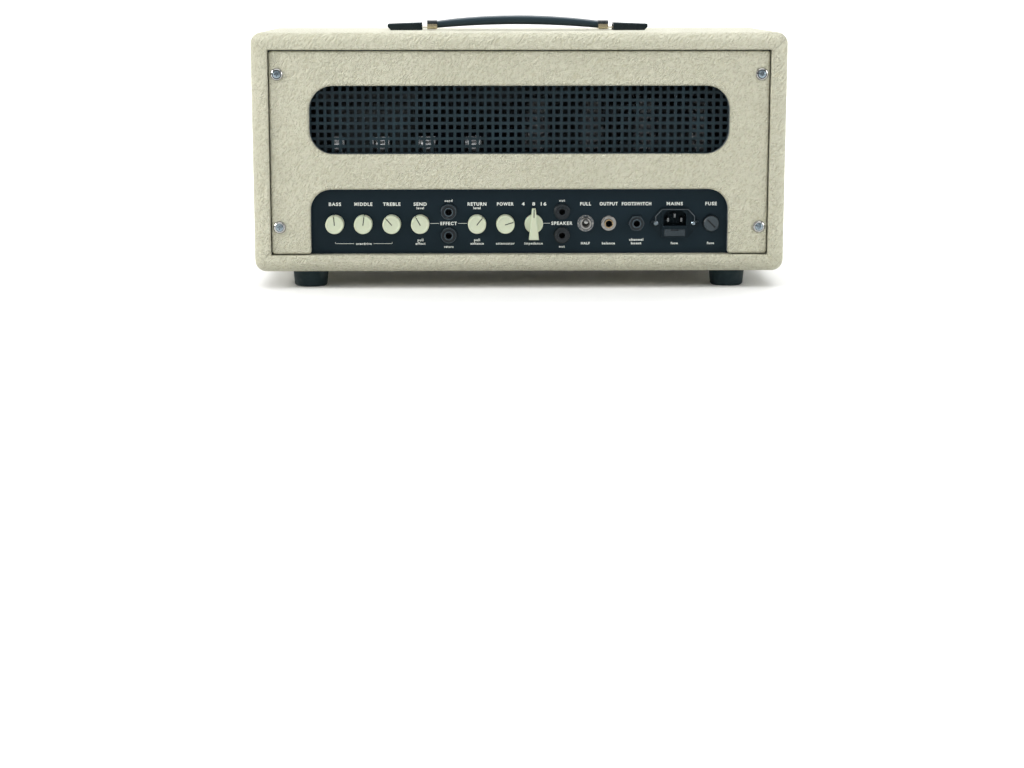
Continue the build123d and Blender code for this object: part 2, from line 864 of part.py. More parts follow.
def make_impedance_knob():
    """Pointer knob: a tall tapered bar across a lower round disc."""
    top = knob_gap + knob_height
    skirt = bushing_reach + 0.8
    tip = pointer_tip_width / 2
    tail = pointer_tail_width / 2
    outline = make_face(Polyline(
        (tip, pointer_tip),
        (tail, -pointer_tail),
        (-tail, -pointer_tail),
        (-tip, pointer_tip),
        close=True,
    ))
    disc = bar(knob_radius, knob_gap, knob_gap + pointer_disc_height)
    disc = fillet(disc.faces().sort_by(Axis.Z)[-1].edges(), pointer_round)
    body = Pos(0, 0, knob_gap) * extrude(outline, knob_height)
    body = fillet(body.faces().sort_by(Axis.Z)[-1].edges(), pointer_round) + disc
    hollow = bar(knob_hollow, 0, skirt)
    groove = block(-pointer_groove / 2, pointer_groove / 2, pointer_tip * 0.45, pointer_tip + 1,
                   top - 0.9, top + 1)
    body = body - hollow - groove - bar(shaft_radius + slip / 2, 0, skirt + 6)
    shaft = bar(shaft_radius, -wall - rotary_depth + 4, skirt + 5.5)
    spot = panel_spot(impedance_x, -1)
    save("impedance_knob", [spot * body, spot * shaft])


def make_switches():
    """Bodies of the rotary impedance switch and of the three toggle switches."""
    bore = shaft_radius + shaft_gap
    rotary = bar(rotary_radius, -wall - rotary_depth, -wall)
    rotary = rotary + bar(bushing_radius, -wall, bushing_reach)
    rotary = rotary - bar(bore, -wall - rotary_depth + 2, bushing_reach + 1)
    flats = 2 * (bushing_radius + nut_margin)
    nut = hexagon(flats, 0, nut_thick) - bar(bushing_radius + slip, -1, nut_thick + 1)
    spot = panel_spot(impedance_x, -1)
    shapes = [spot * rotary, spot * nut]
    half = toggle_body / 2
    ball = toggle_ball_radius
    body = block(-half, half, -half, half, -wall - toggle_body_depth, -wall)
    body = body + bar(toggle_bushing_radius, -wall, toggle_reach)
    body = body - bar(ball + 0.06, -toggle_pivot_depth - ball - 0.5, toggle_reach + 1)
    body = body - turned([
        (0, 1.2), (ball, 1.2), (toggle_mouth_radius, 3.4), (toggle_mouth_radius, toggle_reach + 1),
        (0, toggle_reach + 1),
    ])
    pin_bore = Pos(0, 0, -toggle_pivot_depth) * Rot(0, 90, 0)
    body = body - pin_bore * Cylinder(toggle_pin_radius + slip, 2 * toggle_pin_reach + 0.2)
    shapes += [spot * body for spot in toggle_spots().values()]
    save("panel_switches", shapes)


def make_toggle_levers():
    """Bat levers on a ball with a cross pin, resting in their upper position."""
    length = toggle_lever_length
    tip = toggle_tip_radius
    bat = turned([
        (0, 0), (toggle_neck_radius, 0), (tip, length - tip), (tip * 0.87, length - tip * 0.5),
        (tip * 0.5, length - tip * 0.13), (0, length),
    ])
    pin = Rot(0, 90, 0) * Cylinder(toggle_pin_radius, 2 * toggle_pin_reach)
    lever = bat + Sphere(toggle_ball_radius) + pin
    lever = Pos(0, 0, -toggle_pivot_depth) * Rot(-toggle_angle, 0, 0) * lever
    for name, spot in toggle_spots().items():
        save(name, [spot * lever])


def make_jacks():
    """Jack sockets: square bodies, hollow bushings and black nuts."""
    half = jack_body / 2
    body = block(-half, half, -half, half, -wall - jack_body_depth, -wall)
    body = body + bar(jack_bushing_radius, -wall, jack_reach)
    body = body - bar(jack_bore_radius, jack_reach - jack_bore_depth, jack_reach + 1)
    nut = turned([
        (jack_bushing_radius + slip, 0),
        (jack_nut_radius, 0),
        (jack_nut_radius, jack_nut_thick - 0.8),
        (jack_nut_radius - 0.8, jack_nut_thick),
        (jack_bushing_radius + slip, jack_nut_thick),
    ])
    hex_nut = hexagon(2 * jack_nut_radius * 0.9, 0, jack_nut_thick)
    hex_nut = hex_nut - bar(jack_bushing_radius + slip, -1, jack_nut_thick + 1)
    shapes = []
    spots = jack_spots()
    balanced, footswitch = spots[4], spots[5]
    for spot in spots:
        shapes.append(spot * body)
        if spot is footswitch:
            shapes.append(spot * hex_nut)
        elif spot is not balanced:
            shapes.append(spot * nut)
    save("jack_sockets", shapes)


def make_chrome_nuts():
    """Plated nuts and washers of the toggles and balanced jack, and the lamp's bezel."""
    shapes = []
    for spot in toggle_spots().values():
        bore = toggle_bushing_radius + slip
        shapes.append(spot * ring(toggle_washer_radius, bore, 0, 1))
        shapes.append(spot * (hexagon(toggle_nut_flats, 1, 3.6) - bar(bore, 0, 5)))
    spot = panel_spot(balanced_x, -1)
    bore = jack_bushing_radius + slip
    shapes.append(spot * ring(chrome_washer_radius, bore, 0, 0.8))
    shapes.append(spot * (hexagon(chrome_nut_flats, 0.8, 3.4) - bar(bore, 0, 5)))
    bezel = turned([(6 + slip, 0), (8.5, 0), (8.5, 1.2), (7.4, 3), (6 + slip, 3)])
    shapes.append(panel_spot(lamp_x, 1) * bezel)
    save("chrome_nuts", shapes)


def make_pilot_lamp():
    """Domed pilot lamp in the front wall, with its holder behind."""
    lamp = turned([
        (0, -wall - 16), (5, -wall - 16), (6, -wall - 12), (6, 2.6), (5.2, 4.8), (3.2, 6.6),
        (0, 7.4),
    ])
    save("pilot_lamp", [panel_spot(lamp_x, 1) * lamp])


# ---------------------------------------------------------------- mains inlet and fuses

def inlet_flange_outline():
    """Flange outline: the inlet's face with a tapered ear at each side."""
    ears = [Pos(sign * inlet_screw_x, 0) * Circle(inlet_ear_radius) for sign in (-1, 1)]
    return make_hull(ears[0].edges() + ears[1].edges()
                     + Rectangle(inlet_width, inlet_height).edges())


def recess_outline():
    """The socket recess, with its two upper corners cut off."""
    half = inlet_recess_width / 2
    low = inlet_recess_rise - inlet_recess_height / 2
    high = inlet_recess_rise + inlet_recess_height / 2
    cut = inlet_recess_chamfer
    return make_face(Polyline(
        (-half, low), (half, low), (half, high - cut), (half - cut, high),
        (-half + cut, high), (-half, high - cut), close=True,
    ))


def make_inlet():
    """Appliance inlet with flange, recess, three blades, fuse drawer and cord bail."""
    spot = panel_spot(inlet_x, -1)
    face = inlet_flange + inlet_rim
    rim = RectangleRounded(inlet_width, inlet_height, 1.5)
    floor = face - inlet_recess_depth
    back = -wall - inlet_depth
    body = extrude(inlet_flange_outline(), inlet_flange)
    body = body + Pos(0, 0, inlet_flange) * extrude(rim, inlet_rim)
    body = body + Pos(0, 0, back) * extrude(inlet_body_outline(), -back)
    body = body - Pos(0, 0, floor) * extrude(recess_outline(), inlet_recess_depth + 1)
    gap = drawer_gap
    half = drawer_width / 2
    body = body - block(-half - gap, half + gap, -drawer_drop - drawer_height / 2 - gap,
                        -drawer_drop + drawer_height / 2 + gap,
                        face - drawer_depth - 2 * gap, face + 1)
    for sign in (-1, 1):
        body = body - Pos(sign * inlet_screw_x, 0, 0) * bar(1.5 + slip, -1, inlet_flange + 1)
        x0, x1 = sorted((sign * (bail_pivot_x + 2.3), sign * (bail_pivot_x + 3.7)))
        lug = block(x0, x1, bail_pivot_y - 1.3, bail_pivot_y + 1.3, 0, bail_standoff + 1.3)
        body = body + lug
        eye = Pos(sign * (bail_pivot_x + 3), bail_pivot_y, bail_standoff) * Rot(0, 90, 0)
        body = body - eye * Cylinder(bail_wire_radius + slip, 4)
    save("iec_inlet", [spot * body])

    blades = []
    for x, y in ((-inlet_pin_spacing, 3.5), (inlet_pin_spacing, 3.5), (0, 8.0)):
        blade = block(x - 1, x + 1, y - 2, y + 2, floor, floor + 15)
        blades.append(blade)
    save("iec_pins", [spot * blade for blade in blades])

    depth0 = face - drawer_depth
    drawer = block(-half, half, -drawer_drop - drawer_height / 2, -drawer_drop + drawer_height / 2,
                   depth0, face)
    pocket = block(-fuse_length / 2 - 0.2, fuse_length / 2 + 0.2,
                   -drawer_drop - drawer_height / 2 + 1.2, -drawer_drop + drawer_height,
                   depth0 + 6, depth0 + 12)
    notch = block(-4, 4, -drawer_drop + drawer_height / 2 - 1.6, 0, face - 1.5, face + 1)
    drawer = drawer - pocket - notch
    fuse = Pos(0, -drawer_drop - drawer_height / 2 + 1.3 + fuse_radius, depth0 + 9)
    fuse = fuse * Rot(0, 90, 0) * Cylinder(fuse_radius, fuse_length)
    save("fuse_drawer", [spot * drawer, spot * fuse])

    save("cord_retaining_bail", [spot * bail_wire()])


def bail_wire():
    """Sprung wire bail: two legs that lean in to a top bar, with pivot ends turned out."""
    z = bail_standoff
    top = bail_pivot_y + bail_reach
    points = [
        (-bail_pivot_x - 4.3, bail_pivot_y, z),
        (-bail_pivot_x, bail_pivot_y, z),
        (-bail_pivot_x, bail_pivot_y + bail_reach * 0.45, z),
        (-bail_top_half, top, z),
        (bail_top_half, top, z),
        (bail_pivot_x, bail_pivot_y + bail_reach * 0.45, z),
        (bail_pivot_x, bail_pivot_y, z),
        (bail_pivot_x + 4.3, bail_pivot_y, z),
    ]
    path = FilletPolyline(*points, radius=1.4)
    start = Plane(origin=points[0], z_dir=(1, 0, 0))
    return sweep(start * Circle(bail_wire_radius), path=path)


def make_hv_fuse():
    """Panel fuse holder with its slotted cap and glass fuse."""
    spot = panel_spot(hv_fuse_x, -1)
    lip = 1.6
    bore = fuse_cap_stem_radius + slip
    holder = bar(holder_tube_radius, -wall - holder_depth, 0)
    holder = holder + bar(holder_flange_radius, 0, lip)
    holder = holder - bar(bore, lip - fuse_cap_stem - 1.5, lip + 1)
    holder = holder - bar(fuse_radius + 0.5, lip - fuse_cap_stem - fuse_length - 1, 0)
    nut = hexagon(2 * holder_tube_radius + 5, -wall - 3.5, -wall)
    nut = nut - bar(holder_tube_radius + slip, -wall - 5, 0)
    save("hv_fuse_holder", [spot * holder, spot * nut])
    low = lip + 0.3
    cap = turned([
        (0, low - fuse_cap_stem),
        (fuse_cap_stem_radius, low - fuse_cap_stem),
        (fuse_cap_stem_radius, low),
        (fuse_cap_radius, low),
        (fuse_cap_radius - 0.3, low + fuse_cap_height - 0.8),
        (fuse_cap_radius - 1.1, low + fuse_cap_height),
        (0, low + fuse_cap_height),
    ])
    top = low + fuse_cap_height
    slot = Rot(0, 0, -45) * Box(2 * fuse_cap_radius - 5, 1.5, 3.6)
    cap = cap - Pos(0, 0, top) * slot
    pocket_top = low - fuse_cap_stem + 2
    cap = cap - bar(fuse_radius + 0.1, 0 - fuse_cap_stem, pocket_top)
    save("hv_fuse_cap", [spot * cap])
    fuse = bar(fuse_radius, pocket_top - 0.1 - fuse_length, pocket_top - 0.1)
    save("hv_fuse", [spot * fuse])


# ---------------------------------------------------------------- on the chassis deck

def make_valves():
    """Sockets, power valves with their anodes, and screened preamp valves."""
    sockets = []
    for x, radius in socket_spots():
        body = bar(radius, deck, deck + socket_lift) + bar(radius - 3.2, deck - socket_depth, deck)
        sockets.append(Pos(x, valve_line, 0) * body)
    save("tube_sockets", sockets)

    seat = deck + socket_lift
    base_top = seat + power_base_height
    base = turned([
        (0, seat), (power_valve_radius - 0.4, seat), (power_valve_radius - 0.4, base_top - 1),
        (power_valve_radius - 1.4, base_top), (0, base_top),
    ])
    top = deck + power_valve_height
    outer = power_valve_radius
    dome = outer * 0.86
    glass = bar(outer, base_top, top - dome * 0.75) + Pos(0, 0, top - dome * 0.75) * scale(
        Sphere(outer), (1, 1, 0.645))
    inner_low = base_top + glass_wall
    inner_top = top - dome * 0.75
    hollow = bar(outer - glass_wall, inner_low, inner_top) + Pos(0, 0, inner_top) * scale(
        Sphere(outer - glass_wall), (1, 1, 0.63))
    glass = glass - hollow
    anode = extrude(RectangleRounded(19, 12, 3), 44)
    for sign in (-1, 1):
        anode = anode + block(sign * 11.2 - 2.2, sign * 11.2 + 2.2, -0.7, 0.7, 0, 44)
    stack = Pos(0, 0, inner_low + 8) * anode
    for height in (6.8, 52.0):
        stack = stack + bar(outer - glass_wall - 1.2, inner_low + height, inner_low + height + 1.2)
    stem = bar(6, inner_low, inner_low + 6.8)
    places = [Pos(x, valve_line, 0) for x in power_valve_x]
    save("power_tube_bases", [place * base for place in places])
    save("power_tube_glass", [place * glass for place in places])
    save("power_tube_anodes", [place * (stack + stem) for place in places])

    small = preamp_valve_radius
    bulb = turned([
        (0, seat), (small, seat), (small, seat + preamp_valve_height - 7),
        (small * 0.7, seat + preamp_valve_height - 3), (2.2, seat + preamp_valve_height - 2),
        (1.0, seat + preamp_valve_height + 3 - 2), (0, seat + preamp_valve_height + 3 - 2),
    ])
    can = small + shield_gap + shield_wall
    can_top = seat + preamp_valve_height + 2.4
    shield = ring(can, can - shield_wall, seat, can_top)
    shield = shield + ring(can, 6, can_top - shield_wall, can_top)
    places = [Pos(x, valve_line, 0) for x in preamp_valve_x]
    save("preamp_tubes", [place * bulb for place in places])
    save("preamp_tube_shields", [place * shield for place in places])


def transformer(width, depth, height, bell):
    """Laminated core with a drawn steel bell at each side and four clamp bolts."""
    core = block(-width / 2, width / 2, -depth / 2 + bell, depth / 2 - bell, 0, height)
    shapes = [core]
    for sign in (-1, 1):
        y0, y1 = sorted((sign * depth / 2, sign * (depth / 2 - bell)))
        cover = block(-width / 2 + 8, width / 2 - 8, y0, y1, 9, height - 9)
        outer = cover.faces().sort_by(Axis.Y)[-1 if sign > 0 else 0]
        shapes.append(fillet(outer.edges(), bell * 0.45))
        head_y = sign * (depth / 2 - bell + 1.5)
        for x in (-width / 2 + 4, width / 2 - 4):
            for z in (4, height - 4):
                shapes.append(Pos(x, head_y, z) * Rot(90, 0, 0) * Cylinder(3, 3))
    return shapes


def make_transformers():
    """Mains transformer, output transformer, smoothing choke and filter capacitors."""
    items = (
        ("power_transformer", power_transformer_x, 112, 84, 92, 20),
        ("output_transformer", output_transformer_x, 92, 76, 78, 18),
        ("choke", choke_x, 58, 50, 46, 12),
    )
    for name, x, width, depth, height, bell in items:
        place = Pos(x, transformer_line, deck)
        save(name, [place * item for item in transformer(width, depth, height, bell)])
    can = bar(capacitor_radius, deck, deck + capacitor_height)
    can = fillet(can.faces().sort_by(Axis.Z)[-1].edges(), 1.5)
    rivet = ring(capacitor_radius + 1.5, capacitor_radius + slip, deck, deck + 6)
    shapes = []
    for x in capacitor_x:
        shapes += [Pos(x, transformer_line, 0) * item for item in (can, rivet)]
    save("filter_capacitors", shapes)


def make_circuit_board():
    """Turret board hung from the deck on pillars, with parts on its lower face."""
    z = floor_top + 26
    thick = 2.4
    x0, x1, y0, y1 = -175, 150, -50, 55
    board_solid = block(x0, x1, y0, y1, z, z + thick)
    pillars = [
        Pos(x, y, 0) * bar(3, z + thick, deck - chassis_sheet)
        for x in (x0 + 6, x1 - 6)
        for y in (y0 + 6, y1 - 6)
    ]
    save("turret_board", [board_solid] + pillars)
    shapes = []
    columns = 13
    for row, (radius, length) in enumerate(((3.8, 22), (2.2, 12), (4.6, 26))):
        y = y0 + 20 + row * 34
        for column in range(columns):
            x = x0 + 18 + column * (x1 - x0 - 36) / (columns - 1)
            body = Pos(x, y, z - radius) * Rot(90, 0, 0) * Cylinder(radius, length)
            shapes.append(body)
    save("board_components", shapes)


os.makedirs("parts", exist_ok=True)
make_cabinet()
make_cleats()
make_rear_panel()
make_grille()
make_panel_screws()
make_front()
make_feet()
make_handle()
make_chassis()
make_chassis_screws()
make_potentiometers()
make_knobs()
make_impedance_knob()
make_switches()
make_toggle_levers()
make_jacks()
make_chrome_nuts()
make_pilot_lamp()
make_inlet()
make_hv_fuse()
make_valves()
make_transformers()
make_circuit_board()
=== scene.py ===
import json
import math

import bmesh
import bpy
import numpy as np
from mathutils import Matrix, Vector


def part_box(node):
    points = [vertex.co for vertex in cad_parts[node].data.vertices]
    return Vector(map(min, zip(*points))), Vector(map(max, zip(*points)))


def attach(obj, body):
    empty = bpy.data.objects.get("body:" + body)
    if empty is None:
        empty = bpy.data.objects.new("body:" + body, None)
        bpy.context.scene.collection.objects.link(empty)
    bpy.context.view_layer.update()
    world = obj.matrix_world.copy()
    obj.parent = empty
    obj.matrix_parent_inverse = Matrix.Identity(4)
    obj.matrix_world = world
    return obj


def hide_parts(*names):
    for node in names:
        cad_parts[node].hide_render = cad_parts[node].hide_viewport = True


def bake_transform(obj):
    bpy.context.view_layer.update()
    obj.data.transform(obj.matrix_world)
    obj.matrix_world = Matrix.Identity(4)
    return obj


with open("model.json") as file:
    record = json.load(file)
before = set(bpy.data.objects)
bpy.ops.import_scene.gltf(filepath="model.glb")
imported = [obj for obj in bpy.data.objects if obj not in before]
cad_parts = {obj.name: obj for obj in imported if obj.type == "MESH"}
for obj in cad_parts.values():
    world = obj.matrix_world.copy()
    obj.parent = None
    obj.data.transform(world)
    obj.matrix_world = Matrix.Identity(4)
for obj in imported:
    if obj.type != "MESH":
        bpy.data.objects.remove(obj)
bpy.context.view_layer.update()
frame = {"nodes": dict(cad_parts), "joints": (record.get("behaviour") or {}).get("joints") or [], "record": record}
nodes = frame["nodes"]

# ------------------------------------------------------------------ studio
# A pale floor that sweeps up into a backdrop, soft boxes at both sides and above, and a
# long lens that looks slightly down on the rear of the head from a little to its left.

scene = bpy.context.scene
scene.view_settings.view_transform = "Standard"
scene.view_settings.look = "None"


def finish(name, colour, roughness, metallic=0.0, **constants):
    """A new material whose constant values sit on the shader's own sockets."""
    material = bpy.data.materials.new(name)
    material.use_nodes = True
    shader = material.node_tree.nodes["Principled BSDF"]
    shader.inputs["Base Color"].default_value = (*colour, 1.0)
    shader.inputs["Roughness"].default_value = roughness
    shader.inputs["Metallic"].default_value = metallic
    for key, value in constants.items():
        shader.inputs[key.replace("_", " ")].default_value = value
    return material


def add(material, kind, sockets=None, **settings):
    """A node with its settings; each input is a value or another node's output."""
    item = material.node_tree.nodes.new("ShaderNode" + kind)
    for key, value in settings.items():
        setattr(item, key, value)
    for key, value in (sockets or {}).items():
        if isinstance(value, bpy.types.NodeSocket):
            material.node_tree.links.new(value, item.inputs[key])
        else:
            item.inputs[key].default_value = value
    return item


def feed(material, **sockets):
    """Links outputs into the material's own shader, by socket name."""
    shader = material.node_tree.nodes["Principled BSDF"]
    for key, value in sockets.items():
        material.node_tree.links.new(value, shader.inputs[key.replace("_", " ")])
    return material


def place_of(material):
    """Object coordinates, which are the object's own metres."""
    return add(material, "TexCoord").outputs["Object"]


def axes_of(material, vector=None):
    """The three parts of a vector, by default the object's own metres."""
    return add(material, "SeparateXYZ", {"Vector": vector or place_of(material)}).outputs


def noise(material, scale, detail=2.0, vector=None):
    """Noise of a given scale over the object's own metres."""
    sockets = {"Vector": vector or place_of(material), "Scale": scale, "Detail": detail}
    return add(material, "TexNoise", sockets)


def sums(material, operation, first, second=None):
    """One arithmetic step on values."""
    sockets = {0: first} if second is None else {0: first, 1: second}
    return add(material, "Math", sockets, operation=operation).outputs[0]


def between(material, value, low, high, to_low=0.0, to_high=1.0, smooth=True):
    """Maps a value from one range to another, clamped and eased."""
    sockets = {"Value": value, "From Min": low, "From Max": high, "To Min": to_low, "To Max": to_high}
    kind = "SMOOTHSTEP" if smooth else "LINEAR"
    return add(material, "MapRange", sockets, interpolation_type=kind).outputs["Result"]


def mix(material, factor, first, second):
    """A colour between two, by a factor; each colour is three numbers or an output."""
    node = add(material, "Mix", data_type="RGBA")
    for key, value in {"Factor": factor, "A": first, "B": second}.items():
        socket = [s for s in node.inputs if s.name == key and (key == "Factor" or s.type == "RGBA")][0]
        if isinstance(value, bpy.types.NodeSocket):
            material.node_tree.links.new(value, socket)
        else:
            socket.default_value = value if key == "Factor" else (*value, 1.0)
    return [s for s in node.outputs if s.type == "RGBA"][0]


def relief(material, height, depth, strength=1.0, normal=None):
    """Bump of a height in metres from a 0 to 1 pattern."""
    sockets = {"Height": height, "Distance": depth, "Strength": strength}
    if normal is not None:
        sockets["Normal"] = normal
    return add(material, "Bump", sockets).outputs["Normal"]


def paint(material, *names):
    """Gives CAD nodes one material."""
    for name in names:
        mesh = nodes[name].data
        mesh.materials.clear()
        mesh.materials.append(material)
    return material


def grid_mesh(name, points, loop_u=False, loop_v=False, ends=False):
    """Quads over a grid of points; a looped side joins its last line to its first, and ends
    closes the first and last rows with one face each."""
    rows, columns = points.shape[:2]
    index = np.arange(rows * columns).reshape(rows, columns)
    if loop_u:
        index = np.vstack([index, index[:1]])
    if loop_v:
        index = np.hstack([index, index[:, :1]])
    quads = np.stack([index[:-1, :-1], index[:-1, 1:], index[1:, 1:], index[1:, :-1]], axis=-1)
    faces = quads.reshape(-1, 4).tolist()
    if ends:
        first = np.arange(columns)
        faces += [first[::-1].tolist(), (first + (rows - 1) * columns).tolist()]
    mesh = bpy.data.meshes.new(name)
    mesh.from_pydata(points.reshape(-1, 3).tolist(), [], faces)
    return mesh


def joined(name, meshes, material, body, sharp=35.0):
    """Several meshes as one piece that rides on a body, smooth except at sharp edges."""
    solid = bmesh.new()
    for mesh in meshes:
        solid.from_mesh(mesh)
    bmesh.ops.remove_doubles(solid, verts=solid.verts, dist=1e-7)
    bmesh.ops.recalc_face_normals(solid, faces=solid.faces)
    whole = bpy.data.meshes.new(name)
    solid.to_mesh(whole)
    solid.free()
    whole.polygons.foreach_set("use_smooth", np.ones(len(whole.polygons), dtype=bool))
    whole.set_sharp_from_angle(angle=math.radians(sharp))
    whole.materials.append(material)
    item = bpy.data.objects.new(name, whole)
    scene.collection.objects.link(item)
    if body:
        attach(item, body)
    return item


def studio_sweep():
    """A level floor that turns up through a quarter circle into a wall: a profile in depth
    and height, carried straight across the width."""
    half_width, front, bend_start, radius, wall_top = 3.4, -3.3, 2.2, 1.2, 5.0
    angle = np.linspace(0.0, math.pi / 2, 25)
    depth = np.concatenate([[front], bend_start + radius * np.sin(angle), [bend_start + radius]])
    height = np.concatenate([[0.0], radius * (1.0 - np.cos(angle)), [wall_top]])
    across = np.array([-half_width, half_width])
    points = np.zeros((len(depth), 2, 3))
    points[..., 0] = across[None, :]
    points[..., 1] = depth[:, None]
    points[..., 2] = height[:, None]
    material = finish("pale_paper", (0.88, 0.88, 0.875), 0.7)
    feed(material, Base_Color=mix(material, noise(material, 3.0, 4.0).outputs["Fac"],
                                  (0.875, 0.875, 0.87), (0.885, 0.885, 0.88)))
    sweep = joined("studio_sweep", [grid_mesh("sweep", points)], material, None)
    up = sum(polygon.normal.z for polygon in sweep.data.polygons)
    if up < 0:
        sweep.data.flip_normals()


def soft_box(name, place, target, size, power, tint):
    """An area lamp that faces a point."""
    lamp = bpy.data.lights.new(name, "AREA")
    lamp.shape = "RECTANGLE"
    lamp.size, lamp.size_y = size
    lamp.energy = power
    lamp.color = tint
    item = bpy.data.objects.new(name, lamp)
    item.location = place
    item.rotation_euler = (Vector(target) - Vector(place)).to_track_quat("-Z", "Y").to_euler()
    scene.collection.objects.link(item)


def studio_air():
    """Light that grows with height from a dim floor line, and that the lens sees as white."""
    dim, bright, white = 0.12, 0.42, 1.15
    world = bpy.data.worlds.new("studio_air")
    world.use_nodes = True
    tree = world.node_tree
    background = tree.nodes["Background"]
    background.inputs["Color"].default_value = (0.96, 0.98, 1.0, 1.0)
    toward = tree.nodes.new("ShaderNodeTexCoord").outputs["Generated"]
    height = tree.nodes.new("ShaderNodeSeparateXYZ")
    tree.links.new(toward, height.inputs[0])
    ramp = tree.nodes.new("ShaderNodeMapRange")
    for key, value in {"From Min": -0.2, "From Max": 0.7, "To Min": dim, "To Max": bright}.items():
        ramp.inputs[key].default_value = value
    tree.links.new(height.outputs["Z"], ramp.inputs["Value"])
    seen = tree.nodes.new("ShaderNodeMix")
    tree.links.new(tree.nodes.new("ShaderNodeLightPath").outputs["Is Camera Ray"], seen.inputs["Factor"])
    tree.links.new(ramp.outputs["Result"], seen.inputs["A"])
    seen.inputs["B"].default_value = white
    tree.links.new(seen.outputs["Result"], background.inputs["Strength"])
    scene.world = world


def rear_camera():
    """A 75 mm lens, turned a degree to the right and tilted ten and a half degrees down."""
    lens = bpy.data.cameras.new("rear_view")
    lens.lens = 75.0
    lens.sensor_width = 36.0
    item = bpy.data.objects.new("rear_view", lens)
    tilt_down, turn_right = 10.64, 1.07
    item.location = (-0.050, -2.357, 0.318)
    item.rotation_euler = (math.radians(90.0 - tilt_down), 0.0, math.radians(-turn_right))
    scene.collection.objects.link(item)
    scene.camera = item


studio_sweep()
warm, cool, plain = (1.0, 0.995, 0.98), (0.98, 0.99, 1.0), (1.0, 1.0, 1.0)
for name, place, target, size, power, tint in [
    ("overhead", (0.0, -0.3, 2.1), (0.0, 0.0, 0.1), (2.6, 1.8), 22.0, plain),
    ("left_side", (-2.2, -0.75, 1.15), (-0.1, -0.1, 0.15), (0.9, 0.9), 43.0, warm),
    ("right_side", (2.2, -0.8, 0.9), (0.1, -0.1, 0.15), (1.1, 1.1), 25.0, cool),
    ("lens_side", (-0.3, -3.0, 1.7), (0.0, 0.0, 0.15), (2.4, 1.2), 10.0, plain),
    ("front_side", (0.4, 1.9, 1.6), (0.0, 0.0, 0.12), (2.2, 1.0), 15.0, plain),
    ("backdrop_wash", (0.0, 0.9, 2.6), (0.0, 3.2, 0.5), (4.5, 0.8), 120.0, plain),
]:
    soft_box(name, place, target, size, power, tint)
studio_air()
rear_camera()


# ------------------------------------------------------------------ covered boards
# Plywood boards under cream vinyl with an embossed hide grain. The covering wraps every
# edge and meets in a mitred seam at the corners; inside the box the ply is painted grey.

def hide_grain(material):
    """Short ridges on one slant: noise over 8 by 2 mm, and between them cells 5 by 2 mm
    parted by eased creases, all bent by a finer noise. The slant leans along all three
    axes, so that every face shows its length."""
    bend, rise, lean = 0.0022, math.radians(-45.0), math.radians(34.0)
    place = place_of(material)
    drift = noise(material, 260.0, 3.0, place).outputs["Color"]
    shift = add(material, "VectorMath", {0: drift, 1: (bend,) * 3, 2: place}, operation="MULTIPLY_ADD")
    slant = {"Vector": shift.outputs["Vector"], "Rotation": (0.0, rise, lean)}
    cell = add(material, "Mapping", {**slant, "Scale": (0.0046, 0.0019, 0.0019)}, vector_type="TEXTURE")
    fold = add(material, "Mapping", {**slant, "Scale": (0.0080, 0.0020, 0.0020)}, vector_type="TEXTURE")
    edge = add(material, "TexVoronoi", {"Vector": cell.outputs["Vector"], "Scale": 1.0},
               feature="DISTANCE_TO_EDGE").outputs["Distance"]
    wrinkle = noise(material, 1.0, 2.0, fold.outputs["Vector"]).outputs["Fac"]
    pebble = between(material, edge, 0.0, 0.35, 0.0, 0.35)
    return sums(material, "ADD", pebble, between(material, wrinkle, 0.3, 0.7, 0.0, 0.65))


def seam_line(material, width):
    """1 on the mitre planes at the rim's corners, where |x| - |z - middle| is constant, else 0."""
    low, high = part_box("cabinet_sides")
    middle = (low.z + high.z) / 2
    parts = axes_of(material)
    across = sums(material, "ABSOLUTE", parts["X"])
    up = sums(material, "ABSOLUTE", sums(material, "SUBTRACT", parts["Z"], middle))
    offset = high.x - (high.z - low.z) / 2
    away = sums(material, "SUBTRACT", sums(material, "SUBTRACT", across, up), offset)
    return between(material, sums(material, "ABSOLUTE", away), width * 0.3, width, 1.0, 0.0)


def inside_box(material):
    """1 on the inner faces behind the rims, where the ply is painted, else 0."""
    gap = 0.0012
    panel_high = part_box("rear_panel")[1]
    parts = axes_of(material)
    middle = (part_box("rear_panel")[0].z + panel_high.z) / 2
    across = sums(material, "ABSOLUTE", parts["X"])
    up = sums(material, "ABSOLUTE", sums(material, "SUBTRACT", parts["Z"], middle))
    deep = sums(material, "ABSOLUTE", parts["Y"])
    inner = sums(material, "MULTIPLY", sums(material, "LESS_THAN", across, panel_high.x + gap),
                 sums(material, "LESS_THAN", up, panel_high.z - middle + gap))
    return sums(material, "MULTIPLY", inner, sums(material, "LESS_THAN", deep, -panel_high.y))


def cut_edges(material):
    """1 on a panel's cut edges and inner face, more than 3 mm behind its covered face."""
    face = -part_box("rear_panel")[0].y
    deep = sums(material, "ABSOLUTE", axes_of(material)["Y"])
    return between(material, deep, face - 0.0036, face - 0.0030, 1.0, 0.0)


